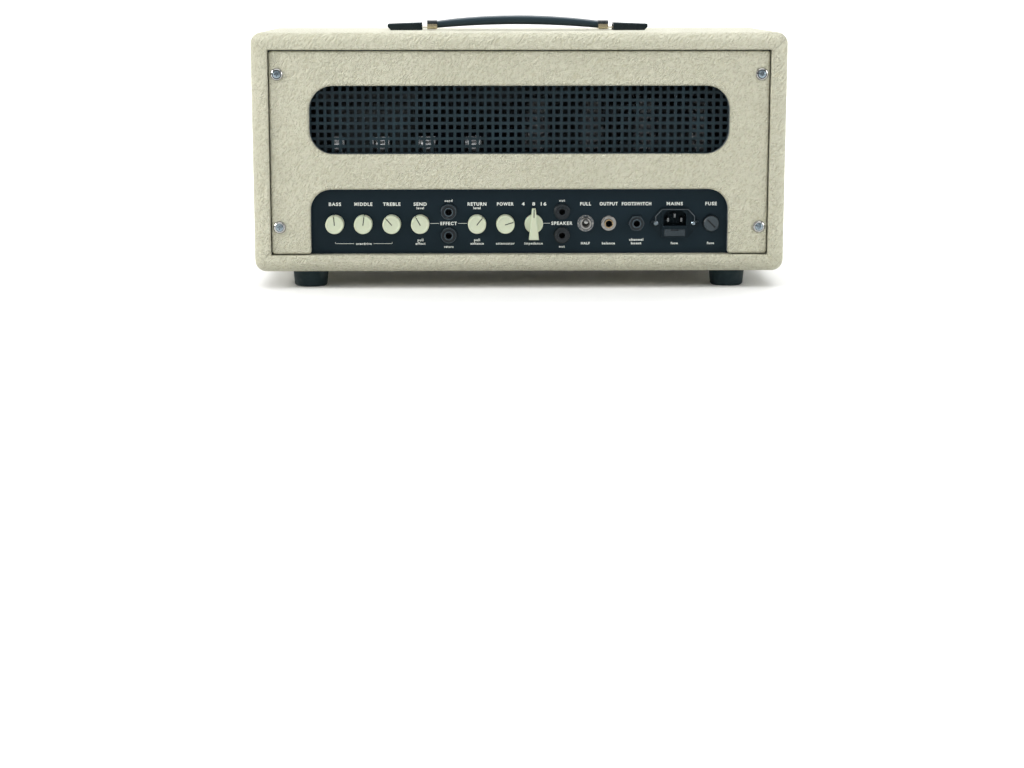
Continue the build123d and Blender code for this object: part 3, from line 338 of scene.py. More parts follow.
def cream_vinyl(name, painted, seams):
    """Cream covering: grain in the relief, painted shade darkening the creases, blotches, and the grey-painted
    parts.
    """
    pale, deep, crease_painted_shade = (0.618, 0.605, 0.468), (0.592, 0.582, 0.444), (0.82, 0.80, 0.74)
    shadow, paint_grey, relief_depth = (0.25, 0.23, 0.17), (0.14, 0.165, 0.175), 0.0023
    material = finish(name, (0.60, 0.59, 0.46), 0.46, Coat_Weight=0.05, Coat_Roughness=0.35)
    height = hide_grain(material)
    pores = noise(material, 2200.0, 2.0).outputs["Fac"]
    blotch = noise(material, 9.0, 3.0).outputs["Fac"]
    base = mix(material, between(material, blotch, 0.3, 0.7), pale, deep)
    # Painted shade: the grain's creases are darkened as though in shadow.
    crease = between(material, height, 0.0, 0.4, 1.0, 0.0)
    dark = mix(material, crease, (1.0, 1.0, 1.0), crease_painted_shade)
    tone = add(material, "VectorMath", {0: base, 1: dark}, operation="MULTIPLY").outputs["Vector"]
    bump = relief(material, pores, 0.00002)
    bump = relief(material, height, relief_depth, normal=bump)
    if seams:
        line = seam_line(material, 0.0005)
        bump = relief(material, sums(material, "SUBTRACT", 1.0, line), 0.0004, normal=bump)
        tone = mix(material, sums(material, "MULTIPLY", line, 0.3), tone, shadow)
    tone = mix(material, painted(material), tone, paint_grey)
    rough = between(material, height, 0.1, 0.9, 0.56, 0.42)
    return feed(material, Base_Color=tone, Normal=bump, Roughness=rough)


paint(cream_vinyl("cream_vinyl_mitred", inside_box, True), "cabinet_top_board",
      "cabinet_bottom_board", "cabinet_sides")
paint(cream_vinyl("cream_vinyl", cut_edges, False), "rear_panel", "front_frame")


# ------------------------------------------------------------------ battens and baffle
# Birch battens glued inside and the plywood baffle, all stained grey before assembly.

def stained_timber(name, light, dark):
    """Straight grain along the width: noise stretched along X, with fine fibres."""
    material = finish(name, light, 0.72)
    stretch = add(material, "Mapping", {"Vector": place_of(material), "Scale": (4.0, 90.0, 90.0)})
    rings = noise(material, 1.0, 6.0, stretch.outputs["Vector"]).outputs["Fac"]
    colour = mix(material, between(material, rings, 0.35, 0.65), light, dark)
    return feed(material, Base_Color=colour, Normal=relief(material, rings, 0.0002))


paint(stained_timber("stained_birch", (0.17, 0.195, 0.205), (0.13, 0.15, 0.16)), "panel_cleats",
      "front_baffle")


# ------------------------------------------------------------------ rear grille
# Pierced steel sheet with a satin black powder coat, screwed behind the vent. The sides of
# the holes that face left and right carry a painted highlight, so they show paler.

def powder_coat(name, colour, roughness, edges=None):
    """Orange-peel skin of baked powder: noise in relief and roughness, with a painted highlight on sideways faces.
    """
    material = finish(name, colour, roughness, Specular_IOR_Level=0.22)
    peel = noise(material, 1400.0, 3.0).outputs["Fac"]
    dust = noise(material, 40.0, 4.0).outputs["Fac"]
    tone = mix(material, between(material, dust, 0.4, 0.75), colour, tuple(1.5 * c for c in colour))
    # Painted highlight: faces turned along X are lightened towards the given colour.
    if edges:
        side = axes_of(material, add(material, "NewGeometry").outputs["True Normal"])["X"]
        tone = mix(material, between(material, sums(material, "ABSOLUTE", side), 0.5, 0.9), tone, edges)
    rough = between(material, dust, 0.3, 0.7, roughness - 0.06, roughness + 0.1)
    return feed(material, Base_Color=tone, Roughness=rough, Normal=relief(material, peel, 0.00006))


# Colour of the painted highlight on the grille holes' sideways faces.
painted_side_highlight = (0.12, 0.15, 0.16)
paint(powder_coat("grille_powder_coat", (0.0085, 0.0205, 0.0265), 0.5, painted_side_highlight), "rear_vent_grille")


# ------------------------------------------------------------------ screws, washers, plated parts
# Bright chrome cup washers and toggle bats, duller nickel nuts, zinc-plated screws, tinned
# inlet blades, and a dull wire bail.

def plated(name, colour, smooth, rough):
    """Plating with faint polishing marks and cloudy roughness."""
    material = finish(name, colour, smooth, 1.0)
    cloud = noise(material, 900.0, 3.0).outputs["Fac"]
    smear = noise(material, 120.0, 4.0).outputs["Fac"]
    level = between(material, smear, 0.3, 0.7, smooth, rough)
    return feed(material, Roughness=level, Normal=relief(material, cloud, 0.000012))


chrome = plated("bright_chrome", (0.42, 0.42, 0.41), 0.06, 0.14)
nickel = plated("dull_nickel", (0.27, 0.265, 0.25), 0.12, 0.22)
zinc = plated("zinc_plate", (0.27, 0.33, 0.37), 0.2, 0.36)
dull_wire = plated("dull_wire", (0.085, 0.10, 0.11), 0.3, 0.45)
tinned_brass = plated("tinned_brass", (0.17, 0.18, 0.18), 0.25, 0.4)
paint(nickel, "chrome_nuts", "panel_switches")
paint(chrome, "rear_panel_cup_washers", "mode_toggle_lever", "mains_toggle_lever",
      "standby_toggle_lever")
paint(zinc, "rear_panel_screws", "cabinet_wood_screws", "chassis_screws", "send_plunger",
      "return_plunger", "potentiometers")
paint(dull_wire, "cord_retaining_bail")
paint(tinned_brass, "iec_pins")


# ------------------------------------------------------------------ feet
# Moulded black rubber with a fine matt skin and a little pale dust.

cool_gloss = (0.70, 0.90, 1.0, 1.0)


def moulded_rubber():
    """Matt rubber: mould texture in relief, and dust that lightens it unevenly."""
    material = finish("foot_rubber", (0.014, 0.02, 0.022), 0.62, Specular_IOR_Level=0.25,
                      Specular_Tint=cool_gloss)
    skin = noise(material, 700.0, 4.0).outputs["Fac"]
    dust = noise(material, 60.0, 5.0).outputs["Fac"]
    clean, dusty = (0.011, 0.020, 0.022), (0.036, 0.046, 0.049)
    colour = mix(material, between(material, dust, 0.45, 0.8), clean, dusty)
    return feed(material, Base_Color=colour, Normal=relief(material, skin, 0.00012))


paint(moulded_rubber(), "rubber_feet")


# ------------------------------------------------------------------ handle
# A spring-steel strap in a moulded black vinyl grip, nickel ferrules with a black top
# skin, and glossy moulded end caps that the strap slides in.

def moulded_black(name, colour, roughness, texture, depth, **constants):
    """Moulded plastic: a fine spark-eroded texture and softly varying gloss."""
    material = finish(name, colour, roughness, **constants)
    skin = noise(material, texture, 3.0).outputs["Fac"]
    gloss = noise(material, 45.0, 3.0).outputs["Fac"]
    level = between(material, gloss, 0.3, 0.7, roughness - 0.08, roughness + 0.08)
    return feed(material, Roughness=level, Normal=relief(material, skin, depth))


def grip_vinyl():
    """Fine-grained vinyl over the grip's own map, whose metres run along and around it."""
    material = finish("grip_vinyl", (0.012, 0.025, 0.034), 0.34, Specular_IOR_Level=0.5,
                      Specular_Tint=cool_gloss)
    skin_map = add(material, "UVMap", uv_map="grip_skin").outputs["UV"]
    cells = add(material, "TexVoronoi", {"Vector": skin_map, "Scale": 900.0}).outputs["Distance"]
    smear = noise(material, 30.0, 3.0, skin_map).outputs["Fac"]
    colour = mix(material, smear, (0.009, 0.019, 0.026), (0.014, 0.026, 0.035))
    return feed(material, Base_Color=colour, Normal=relief(material, cells, 0.00006),
                Roughness=between(material, smear, 0.3, 0.7, 0.3, 0.42))


def handle_grip():
    """Arched grip between the ferrules: a superellipse section, flat below, whose bottom and
    top lines are arcs over one span, with a moulded parting ridge along both sides."""
    low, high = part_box("handle_grip_left")
    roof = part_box("cabinet_top_board")[1].z
    end = -low.x
    across = (high.y - low.y) / 2
    lift, thick, rise, bend_half, corners = 0.0020, 0.0084, 0.0039, 0.035, 3.4
    end_low, end_high = roof + lift, roof + lift + thick
    mid_low, mid_high = end_low + rise, high.z
    along = np.linspace(-end, end, 97)
    around = np.linspace(0.0, 2 * np.pi, 65)[:-1]
    arc = 1.0 - (along / end) ** 2
    under = end_low + (mid_low - end_low) * arc
    over = end_high + (mid_high - end_high) * arc
    taper = 1.0 - 0.05 * (1.0 - arc) ** 4
    power = 2.0 / corners
    wide = np.sign(np.cos(around)) * np.abs(np.cos(around)) ** power
    tall = np.sign(np.sin(around)) * np.abs(np.sin(around)) ** power
    ridge = 1.0 + 0.02 * np.exp(-((np.sin(around)) / 0.06) ** 2)
    points = np.zeros((len(along), len(around), 3))
    points[..., 0] = along[:, None]
    points[..., 1] = (across - 0.0003) * taper[:, None] * (wide * ridge)[None, :]
    middle, half = (under + over) / 2, (over - under) / 2
    points[..., 2] = middle[:, None] + (half * taper)[:, None] * tall[None, :]
    mesh = grid_mesh("grip", points, loop_v=True, ends=True)
    grip = joined("handle_grip", [mesh], grip_vinyl(), None, 50.0)
    skin = grip.data.uv_layers.new(name="grip_skin")
    corner = np.zeros(len(grip.data.loops), dtype=np.int64)
    grip.data.loops.foreach_get("vertex_index", corner)
    place = np.zeros(len(grip.data.vertices) * 3)
    grip.data.vertices.foreach_get("co", place)
    place = place.reshape(-1, 3)[corner]
    turn = np.arctan2(place[:, 2] - (end_low + mid_high) / 2, place[:, 1])
    skin.data.foreach_set("uv", np.stack([place[:, 0], turn * across], axis=1).ravel())
    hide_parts("handle_grip_left", "handle_grip_right")
    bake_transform(grip)


def capped_nickel():
    """Yellowed nickel whose upward faces carry the strap's black skin."""
    yellow, black = (0.62, 0.54, 0.38), (0.012, 0.018, 0.022)
    material = plated("ferrule_nickel", yellow, 0.18, 0.34)
    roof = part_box("cabinet_top_board")[1].z
    parts = axes_of(material)
    top = between(material, parts["Z"], roof + 0.0062, roof + 0.0068)
    shader = material.node_tree.nodes["Principled BSDF"]
    colour = mix(material, top, yellow, black)
    feed(material, Base_Color=colour, Metallic=sums(material, "SUBTRACT", 1.0, top))
    shader.inputs["Coat Weight"].default_value = 0.1
    return material


handle_grip()
paint(moulded_black("handle_cap_plastic", (0.006, 0.009, 0.011), 0.24, 60.0, 0.00002,
                    Specular_Tint=cool_gloss), "handle_end_caps")
paint(capped_nickel(), "handle_strap_left", "handle_strap_right")


# ------------------------------------------------------------------ chassis and faceplates
# Zinc-plated folded steel, with black anodised aluminium faceplates.

def zinc_sheet():
    """Spangled zinc on steel: flat crystals that differ a little in tone and gloss."""
    material = finish("chassis_zinc", (0.55, 0.56, 0.57), 0.35, 1.0)
    cells = add(material, "TexVoronoi", {"Vector": place_of(material), "Scale": 120.0}).outputs["Color"]
    tone = add(material, "SeparateColor", {"Color": cells}).outputs["Red"]
    colour = mix(material, tone, (0.40, 0.41, 0.42), (0.54, 0.55, 0.56))
    return feed(material, Base_Color=colour, Roughness=between(material, tone, 0.0, 1.0, 0.28, 0.45))


def black_anodised():
    """Brushed and anodised sheet: long scratches along X under a deep blue-black."""
    material = finish("faceplate_anodised", (0.008, 0.014, 0.019), 0.42, Specular_IOR_Level=0.2,
                      Specular_Tint=cool_gloss)
    stretch = add(material, "Mapping", {"Vector": place_of(material), "Scale": (30.0, 900.0, 1800.0)})
    brush = noise(material, 1.0, 3.0, stretch.outputs["Vector"]).outputs["Fac"]
    colour = mix(material, brush, (0.0050, 0.0120, 0.0175), (0.008, 0.0165, 0.023))
    return feed(material, Base_Color=colour, Normal=relief(material, brush, 0.000006),
                Roughness=between(material, brush, 0.3, 0.7, 0.36, 0.5))


paint(zinc_sheet(), "chassis", "chassis_bottom_cover")
paint(black_anodised(), "faceplates")


# ------------------------------------------------------------------ legends
# Cream function words, lines and brackets screen-printed on both faceplates.

plate_low, plate_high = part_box("faceplates")
board_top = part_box("cabinet_bottom_board")[1].z
print_depth = 0.00005
mount_place = {mount["name"]: Vector(mount["pos_m"]) for mount in frame["record"]["mounts"]}


def middle_x(name):
    """X of a control, from its node's box."""
    low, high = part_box(name)
    return (low.x + high.x) / 2


def on_plate(mesh, x, lift, side):
    """Stands a mesh drawn in X and Y on a faceplate: side is -1 at the rear, 1 at the front."""
    surface = plate_low.y if side < 0 else plate_high.y
    mesh.transform(Matrix.Rotation(math.pi / 2, 4, "X"))
    if side > 0:
        mesh.transform(Matrix.Rotation(math.pi, 4, "Z"))
    mesh.transform(Matrix.Translation((x, surface + side * print_depth / 2, board_top + lift)))
    return mesh


def printed_word(text, x, lift, width, cap, side=-1, bold=0.034):
    """One word centred at x, scaled to a cap height and a width, as a flat mesh."""
    curve = bpy.data.curves.new("word", "FONT")
    curve.body = text
    curve.align_x = "CENTER"
    curve.extrude = 0.0
    curve.offset = bold
    curve.space_character = 1.22
    curve.resolution_u = 3
    item = bpy.data.objects.new("word", curve)
    scene.collection.objects.link(item)
    bpy.context.view_layer.update()
    mesh = bpy.data.meshes.new_from_object(item.evaluated_get(bpy.context.evaluated_depsgraph_get()))
    bpy.data.objects.remove(item)
    place = np.zeros(len(mesh.vertices) * 3)
    mesh.vertices.foreach_get("co", place)
    place = place.reshape(-1, 3)
    spread = place[:, 0].max() - place[:, 0].min()
    centre = (place[:, 0].max() + place[:, 0].min()) / 2
    type_cap = 0.70
    cap_units = type_cap + 2 * bold
    mesh.transform(Matrix.Translation((-centre, -type_cap / 2, 0.0)))
    mesh.transform(Matrix.Diagonal((width / spread, cap / cap_units, 1.0, 1.0)))
    return on_plate(mesh, x, lift, side)


def printed_path(points, wide, side=-1):
    """A printed line of even width through points given as x and lift, one bar for each run."""
    meshes = []
    for (x0, z0), (x1, z1) in zip(points[:-1], points[1:]):
        pad = wide / 2
        low_x, high_x = min(x0, x1) - pad, max(x0, x1) + pad
        low_z, high_z = min(z0, z1) - pad, max(z0, z1) + pad
        corners = np.array([[[low_x, low_z, 0.0], [high_x, low_z, 0.0]],
                            [[low_x, high_z, 0.0], [high_x, high_z, 0.0]]])
        meshes.append(on_plate(grid_mesh("line", corners), 0.0, 0.0, side))
    return meshes


def printed_ink():
    """Thick cream screen ink, slightly uneven in its coverage."""
    material = finish("legend_ink", (0.86, 0.90, 0.84), 0.5)
    cover = noise(material, 700.0, 3.0).outputs["Fac"]
    return feed(material, Base_Color=mix(material, cover, (0.78, 0.82, 0.76), (0.92, 0.95, 0.90)))


big, small = 0.0037, 0.0027
top_row, level_row, middle_row = 0.0526, 0.0484, 0.0320
upper_foot_row, foot_row = 0.0145, 0.0107
over_jack, under_jack = 0.0562, 0.0073
bass_x, treble_x = middle_x("bass_knob"), middle_x("treble_knob")
send_x, return_x = middle_x("send_knob"), middle_x("return_knob")
power_x, impedance_x = middle_x("attenuator_knob"), middle_x("impedance_knob")
toggle_x, inlet_x, fuse_x = middle_x("mode_toggle_lever"), middle_x("iec_inlet"), middle_x("hv_fuse_cap")
effect_x = mount_place["effects_send_jack"].x
speaker_x = mount_place["speaker_jack_upper"].x
balanced_x = mount_place["balanced_output_jack"].x
footswitch_x = mount_place["footswitch_jack"].x
overdrive_x = (bass_x + treble_x) / 2
rear_words = [
    ("BASS", bass_x, top_row, 0.0130, big), ("MIDDLE", middle_x("middle_knob"), top_row, 0.0190, big),
    ("TREBLE", treble_x, top_row, 0.0184, big), ("SEND", send_x, top_row, 0.0139, big),
    ("RETURN", return_x, top_row, 0.0199, big), ("POWER", power_x, top_row, 0.0177, big),
    ("4", impedance_x - 0.0111, top_row, 0.0031, big), ("8", impedance_x, top_row, 0.0031, big),
    ("16", impedance_x + 0.0105, top_row, 0.0060, big), ("FULL", toggle_x, top_row, 0.0115, big),
    ("OUTPUT", balanced_x, top_row, 0.0192, big), ("FOOTSWITCH", footswitch_x, top_row, 0.0312, big),
    ("MAINS", inlet_x, top_row, 0.0172, big), ("FUSE", fuse_x, top_row, 0.0122, big),
    ("EFFECT", effect_x, middle_row, 0.0175, big), ("SPEAKER", speaker_x, middle_row, 0.0225, big),
    ("level", send_x, level_row, 0.0078, small), ("level", return_x, level_row, 0.0078, small),
    ("send", effect_x, over_jack, 0.0082, small), ("return", effect_x, under_jack, 0.0098, small),
    ("out", speaker_x, over_jack, 0.0062, small), ("out", speaker_x, under_jack, 0.0062, small),
    ("overdrive", overdrive_x, foot_row, 0.0166, small),
    ("pull", send_x, upper_foot_row, 0.0062, small), ("effect", send_x, foot_row, 0.0106, small),
    ("pull", return_x, upper_foot_row, 0.0062, small), ("enhance", return_x, foot_row, 0.0142, small),
    ("attenuator", power_x, foot_row, 0.0199, small),
    ("impedance", impedance_x, foot_row, 0.0194, small),
    ("HALF", toggle_x, foot_row, 0.0094, small), ("balance", balanced_x, foot_row, 0.0138, small),
    ("channel", footswitch_x, upper_foot_row, 0.0150, small),
    ("boost", footswitch_x, foot_row, 0.0110, small),
    ("fuse", inlet_x, foot_row, 0.0076, small), ("fuse", fuse_x, foot_row, 0.0076, small),
]
line_wide, bracket_rise = 0.00042, 0.0015
beside_overdrive, beside_effect, beside_speaker = 0.0105, 0.0103, 0.0130
beside_knob, beside_pointer = 0.0108, 0.0104
rear_print = [printed_word(*word) for word in rear_words]
for side, post, knob in [(-1, bass_x, send_x), (1, treble_x, return_x)]:
    rear_print += printed_path([(post, foot_row + bracket_rise), (post, foot_row),
                                (overdrive_x + side * beside_overdrive, foot_row)], line_wide)
    rear_print += printed_path([(knob - side * beside_knob, middle_row),
                                (effect_x + side * beside_effect, middle_row)], line_wide)
rear_print += printed_path([(impedance_x + beside_pointer, middle_row),
                            (speaker_x - beside_speaker, middle_row)], line_wide)
standby_x, mains_x = middle_x("standby_toggle_lever"), middle_x("mains_toggle_lever")
front_words = [
    ("INPUT", mount_place["input_jack"].x, top_row, 0.0160, big),
    ("GAIN", middle_x("gain_knob"), top_row, 0.0130, big),
    ("VOLUME", middle_x("volume_knob"), top_row, 0.0200, big),
    ("STANDBY", standby_x, top_row, 0.0215, big), ("MAINS", mains_x, top_row, 0.0172, big),
    ("on", mains_x, foot_row, 0.0045, small), ("on", standby_x, foot_row, 0.0045, small),
]
ink = printed_ink()
joined("rear_legends", rear_print, ink, "root")
joined("front_legends", [printed_word(*word, side=1) for word in front_words], ink, "root")


# ------------------------------------------------------------------ knobs
# Ivory moulded knobs with a dark line pressed into the pointer groove. Each line is its own
# strip of black resin and turns with its knob.

def ivory_plastic():
    """Ivory moulding: soft translucent body with faint flow marks and handling gloss."""
    material = finish("knob_ivory_plastic", (0.60, 0.645, 0.47), 0.38, Subsurface_Weight=0.05,
                      Subsurface_Scale=0.002)
    flow = noise(material, 160.0, 4.0).outputs["Fac"]
    colour = mix(material, flow, (0.552, 0.595, 0.44), (0.52, 0.562, 0.41))
    skin = noise(material, 1800.0, 2.0).outputs["Fac"]
    return feed(material, Base_Color=colour, Roughness=between(material, flow, 0.3, 0.7, 0.32, 0.45),
                Normal=relief(material, skin, 0.00001))


def pointer_line(knob, joint, start, stop, wide, sink):
    """A rounded resin strip from start to stop along a knob's pointer. At rest the pointer
    is turned from straight up by minus the middle of the joint's range."""
    low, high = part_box(knob)
    side = joint["axis"][1]
    turned = -math.radians(sum(joint["range_deg"]) / 2)
    face = low.y if side < 0 else high.y
    across = np.array([-0.5, -0.5, -0.2, 0.2, 0.5, 0.5]) * wide
    rise = np.array([-0.0004, -0.00010, 0.0, 0.0, -0.00010, -0.0004]) - sink
    along = np.linspace(start, stop, 9)
    points = np.zeros((len(along), len(across), 3))
    points[..., 0] = across[None, :] * -side
    points[..., 1] = rise[None, :] * side
    points[..., 2] = along[:, None]
    mesh = grid_mesh("line", points, loop_v=True, ends=True)
    mesh.transform(Matrix.Rotation(turned, 4, Vector(joint["axis"])))
    mesh.transform(Matrix.Translation((joint["pos_m"][0], face, joint["pos_m"][2])))
    joined(knob + "_pointer_line", [mesh], pointer_resin, joint["child"])


pointer_resin = moulded_black("pointer_resin", (0.02, 0.025, 0.02), 0.4, 900.0, 0.00001)
turns = {joint["child"]: joint for joint in frame["joints"] if joint["name"].endswith("_turn")}
round_knobs = ["bass_knob", "middle_knob", "treble_knob", "send_knob", "return_knob", "attenuator_knob",
               "gain_knob", "volume_knob"]
for knob in round_knobs:
    pointer_line(knob, turns[knob], start=-0.0006, stop=0.0086, wide=0.0010, sink=0.0006)
pointer_line("impedance_knob", turns["impedance_knob"], start=0.0074, stop=0.0158, wide=0.0010, sink=0.00005)
paint(ivory_plastic(), "impedance_knob", *round_knobs)


# ------------------------------------------------------------------ sockets and nuts
# Black jack nuts whose rims and lips carry a painted highlight, a knurled dress nut and
# toothed lock washer on each toggle, and a brass collar in the plated balanced socket.

def lathe_mesh(name, outline, x, z, side, count=48, teeth=0, bite=0.0):
    """A closed radius and height outline turned about a control's axis; the radius beyond
    the outline's mean is cut by a cosine of the angle where there are teeth."""
    outline = np.array(outline)
    angle = np.linspace(0.0, 2 * np.pi, count, endpoint=False)
    radius = np.repeat(outline[None, :, 0], count, axis=0)
    if teeth:
        outer = outline[:, 0] > outline[:, 0].mean()
        radius = radius - bite * outer[None, :] * (0.5 + 0.5 * np.cos(teeth * angle))[:, None]
    surface = plate_low.y if side < 0 else plate_high.y
    points = np.zeros((count, len(outline), 3))
    points[..., 0] = x + radius * np.cos(angle)[:, None]
    points[..., 1] = surface + side * outline[None, :, 1]
    points[..., 2] = z + radius * np.sin(angle)[:, None]
    return grid_mesh(name, points, loop_u=True, loop_v=True)


def bead(radius, height, thick):
    """A round bead's outline at a radius and height."""
    angle = np.linspace(0.0, 2 * np.pi, 8, endpoint=False)
    return np.stack([radius + thick * np.cos(angle), height + thick * np.sin(angle)], axis=1)


control_z = turns["bass_knob"]["pos_m"][2]
# Painted highlight: the nut rims and bushing lips are a paler black than the socket plastic.
nut_painted_highlight_black = moulded_black("nut_painted_highlight_black", (0.06, 0.085, 0.10), 0.25, 1500.0, 0.00002,
                           Specular_Tint=cool_gloss)
jack_names = [name for name in mount_place if name.endswith("jack")]
rings, collars = [], []
for name in jack_names:
    place = mount_place[name]
    side = -1 if place.y < 0 else 1
    if name == "balanced_output_jack":
        collar = bead(radius=0.0041, height=0.0066, thick=0.0006)
        collars.append(lathe_mesh("collar", collar, place.x, place.z, side))
        continue
    nut = 0.0078 if name != "footswitch_jack" else 0.0074
    edge = bead(radius=nut, height=0.00435, thick=0.00028)
    lip = bead(radius=0.0042, height=0.0064, thick=0.00045)
    rings += [lathe_mesh("nut_ring", ring, place.x, place.z, side) for ring in (edge, lip)]
joined("jack_nut_edges", rings, nut_painted_highlight_black, "root")
brass = plated("collar_brass", (0.50, 0.36, 0.20), 0.2, 0.35)
joined("balanced_jack_collar", collars, brass, "root")
washers = []
for lever in ("mode_toggle_lever", "mains_toggle_lever", "standby_toggle_lever"):
    side = -1 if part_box(lever)[0].y < 0 else 1
    x = middle_x(lever)
    toothed = [(0.0062, 0.00102), (0.0062, 0.0014), (0.0090, 0.0014), (0.0090, 0.00102)]
    washers.append(lathe_mesh("lock_washer", toothed, x, control_z, side, 144, teeth=16, bite=0.0011))
    dress = [(0.00595, 0.0036), (0.00595, 0.0068), (0.0064, 0.0070), (0.0068, 0.0066), (0.0068, 0.0036)]
    washers.append(lathe_mesh("dress_nut", dress, x, control_z, side, 144, teeth=24, bite=0.0003))
dark_steel = plated("dark_steel", (0.11, 0.125, 0.135), 0.16, 0.3)
joined("toggle_lock_washers", washers, dark_steel, "root", 25.0)
paint(moulded_black("socket_plastic", (0.0075, 0.0125, 0.016), 0.3, 1500.0, 0.00002,
                    Specular_IOR_Level=0.35), "jack_sockets")


# ------------------------------------------------------------------ mains inlet and fuses
# Black thermoplastic inlet with its fuse drawer under the recess, and the round fuse cap,
# whose driver slot and sides are in shadow.

inlet_black = moulded_black("inlet_plastic", (0.0045, 0.009, 0.0125), 0.46, 1200.0, 0.00002,
                            Specular_IOR_Level=0.2, Specular_Tint=cool_gloss)
drawer_black = moulded_black("drawer_plastic", (0.021, 0.033, 0.041), 0.36, 1200.0, 0.00002,
                             Specular_IOR_Level=0.4)
paint(inlet_black, "iec_inlet", "hv_fuse_holder")
cap_tone, slot_tone = (0.03, 0.044, 0.052), (0.002, 0.004, 0.006)
cap_black = moulded_black("fuse_cap_plastic", cap_tone, 0.4, 1200.0, 0.00002)
cap_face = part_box("hv_fuse_cap")[0].y
sunk = between(cap_black, axes_of(cap_black)["Y"], cap_face + 0.0003, cap_face + 0.0008)
feed(cap_black, Base_Color=mix(cap_black, sunk, cap_tone, slot_tone))
paint(cap_black, "hv_fuse_cap")
paint(drawer_black, "fuse_drawer")
paint(moulded_black("valve_base_plastic", (0.02, 0.014, 0.011), 0.3, 900.0, 0.00002), "power_tube_bases")


# ------------------------------------------------------------------ valves and iron on the deck
# Clear glass over grey anodes, drawn aluminium screens, grey enamelled transformers.

def clear_glass(name):
    """Thin clear glass."""
    material = finish(name, (0.95, 0.97, 0.97), 0.03, Transmission_Weight=1.0, IOR=1.47)
    smoke = noise(material, 50.0, 3.0).outputs["Fac"]
    return feed(material, Roughness=between(material, smoke, 0.4, 0.8, 0.02, 0.08))


paint(clear_glass("valve_glass"), "power_tube_glass", "preamp_tubes", "hv_fuse")
paint(powder_coat("anode_grey", (0.10, 0.10, 0.11), 0.5), "power_tube_anodes")
paint(plated("drawn_aluminium", (0.92, 0.94, 0.96), 0.08, 0.2), "preamp_tube_shields")
paint(powder_coat("transformer_enamel", (0.14, 0.16, 0.17), 0.35), "power_transformer",
      "output_transformer", "choke")
paint(moulded_black("capacitor_sleeve", (0.015, 0.028, 0.06), 0.3, 600.0, 0.00003), "filter_capacitors")
paint(moulded_black("socket_ceramic", (0.45, 0.44, 0.40), 0.3, 900.0, 0.00002), "tube_sockets")
paint(moulded_black("board_laminate", (0.30, 0.19, 0.07), 0.5, 900.0, 0.00003), "turret_board")
paint(moulded_black("component_coating", (0.55, 0.28, 0.05), 0.35, 500.0, 0.00003), "board_components")


# ------------------------------------------------------------------ front
# Woven speaker cloth stretched over the baffle behind a window edged with cream piping,
# and the faceted jewel of the pilot lamp.

def speaker_cloth():
    """Coarse plain weave of brown and gold threads, from two crossed waves."""
    material = finish("speaker_cloth", (0.25, 0.18, 0.10), 0.8, Sheen_Weight=0.2)
    parts = axes_of(material)
    thread = 2 * math.pi / 0.0016
    warp = sums(material, "SINE", sums(material, "MULTIPLY", parts["X"], thread))
    weft = sums(material, "SINE", sums(material, "MULTIPLY", parts["Z"], thread))
    weave = sums(material, "MULTIPLY", warp, weft)
    fleck = noise(material, 400.0, 2.0).outputs["Fac"]
    brown, tan, gold = (0.085, 0.06, 0.035), (0.36, 0.27, 0.14), (0.52, 0.43, 0.27)
    light = mix(material, between(material, fleck, 0.4, 0.7), tan, gold)
    colour = mix(material, between(material, weave, -0.6, 0.6), brown, light)
    return feed(material, Base_Color=colour, Normal=relief(material, weave, 0.0003))


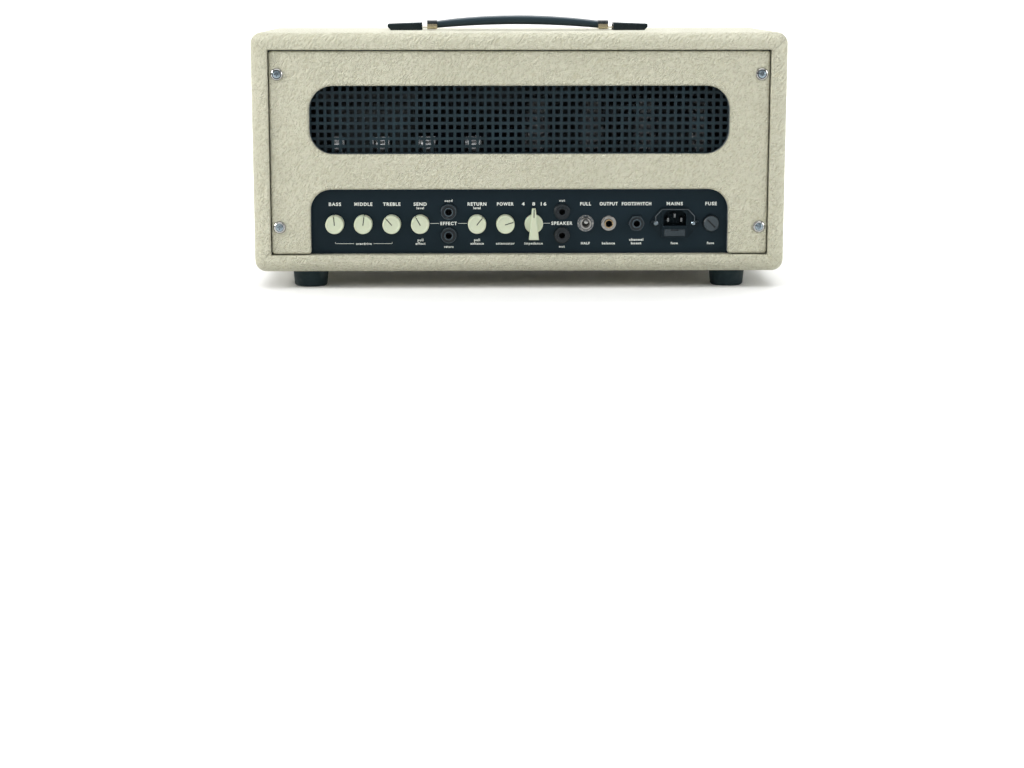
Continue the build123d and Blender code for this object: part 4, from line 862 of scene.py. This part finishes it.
def stretched_cloth():
    """A flat sheet over the baffle's face that gives back a third of a millimetre between
    its stapled edges, as the product of two half sine waves."""
    low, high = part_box("front_grille_cloth")
    columns, rows, sag, off_face = 121, 41, 0.0003, 0.0001
    across = np.linspace(low.x, high.x, columns)
    up = np.linspace(low.z, high.z, rows)
    points = np.zeros((len(up), len(across), 3))
    points[..., 0] = across[None, :]
    points[..., 2] = up[:, None]
    slack_up, slack_across = (np.sin(np.linspace(0, np.pi, count)) for count in (rows, columns))
    points[..., 1] = high.y - off_face - sag * slack_up[:, None] * slack_across[None, :]
    mesh = grid_mesh("cloth", points)
    cloth = joined("speaker_cloth_sheet", [mesh], speaker_cloth(), "root")
    if cloth.data.polygons[0].normal.y < 0:
        cloth.data.flip_normals()
    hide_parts("front_grille_cloth")


def window_piping():
    """A round cream bead carried around the window's inner edge, a rectangle with round
    corners, tight against the frame."""
    half_width, below_top, tall = 0.238, 0.020, 0.112
    corner, bead_radius, steps = 0.006, 0.0019, 9
    frame_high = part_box("front_frame")[1]
    window_high = (half_width, frame_high.z - below_top)
    window_low = (-half_width, window_high[1] - tall)
    inset = bead_radius
    right, top = window_high[0] - corner, window_high[1] - corner
    left, foot = window_low[0] + corner, window_low[1] + corner
    quarters = [np.linspace(start, start + 0.5, steps) for start in (0.0, 0.5, 1.0, 1.5)]
    turn = np.concatenate(quarters) * np.pi
    middle = np.repeat(np.array([(right, top), (left, top), (left, foot), (right, foot)]), steps, axis=0)
    radius = corner - inset
    line = middle + radius * np.stack([np.cos(turn), np.sin(turn)], axis=1)
    around = np.linspace(0.0, 2 * np.pi, 12, endpoint=False)
    face = frame_high.y - 0.0042
    points = np.zeros((len(line), len(around), 3))
    points[..., 0] = line[:, None, 0] + bead_radius * np.cos(turn)[:, None] * np.cos(around)[None, :]
    points[..., 2] = line[:, None, 1] + bead_radius * np.sin(turn)[:, None] * np.cos(around)[None, :]
    points[..., 1] = face + bead_radius * np.sin(around)[None, :]
    material = finish("piping_vinyl", (0.66, 0.63, 0.50), 0.4)
    twist = noise(material, 500.0, 2.0).outputs["Fac"]
    feed(material, Base_Color=mix(material, twist, (0.62, 0.59, 0.46), (0.70, 0.67, 0.54)),
         Normal=relief(material, twist, 0.00003))
    mesh = grid_mesh("piping", points, loop_u=True, loop_v=True)
    joined("window_piping", [mesh], material, "root")


def lamp_lens():
    """Red jewel of tinted plastic with pressed facets."""
    material = finish("lamp_lens", (0.55, 0.02, 0.015), 0.12, Transmission_Weight=0.5)
    facets = add(material, "TexVoronoi", {"Vector": place_of(material), "Scale": 420.0})
    return feed(material, Normal=relief(material, facets.outputs["Distance"], 0.0005))


stretched_cloth()
window_piping()
paint(lamp_lens(), "pilot_lamp")
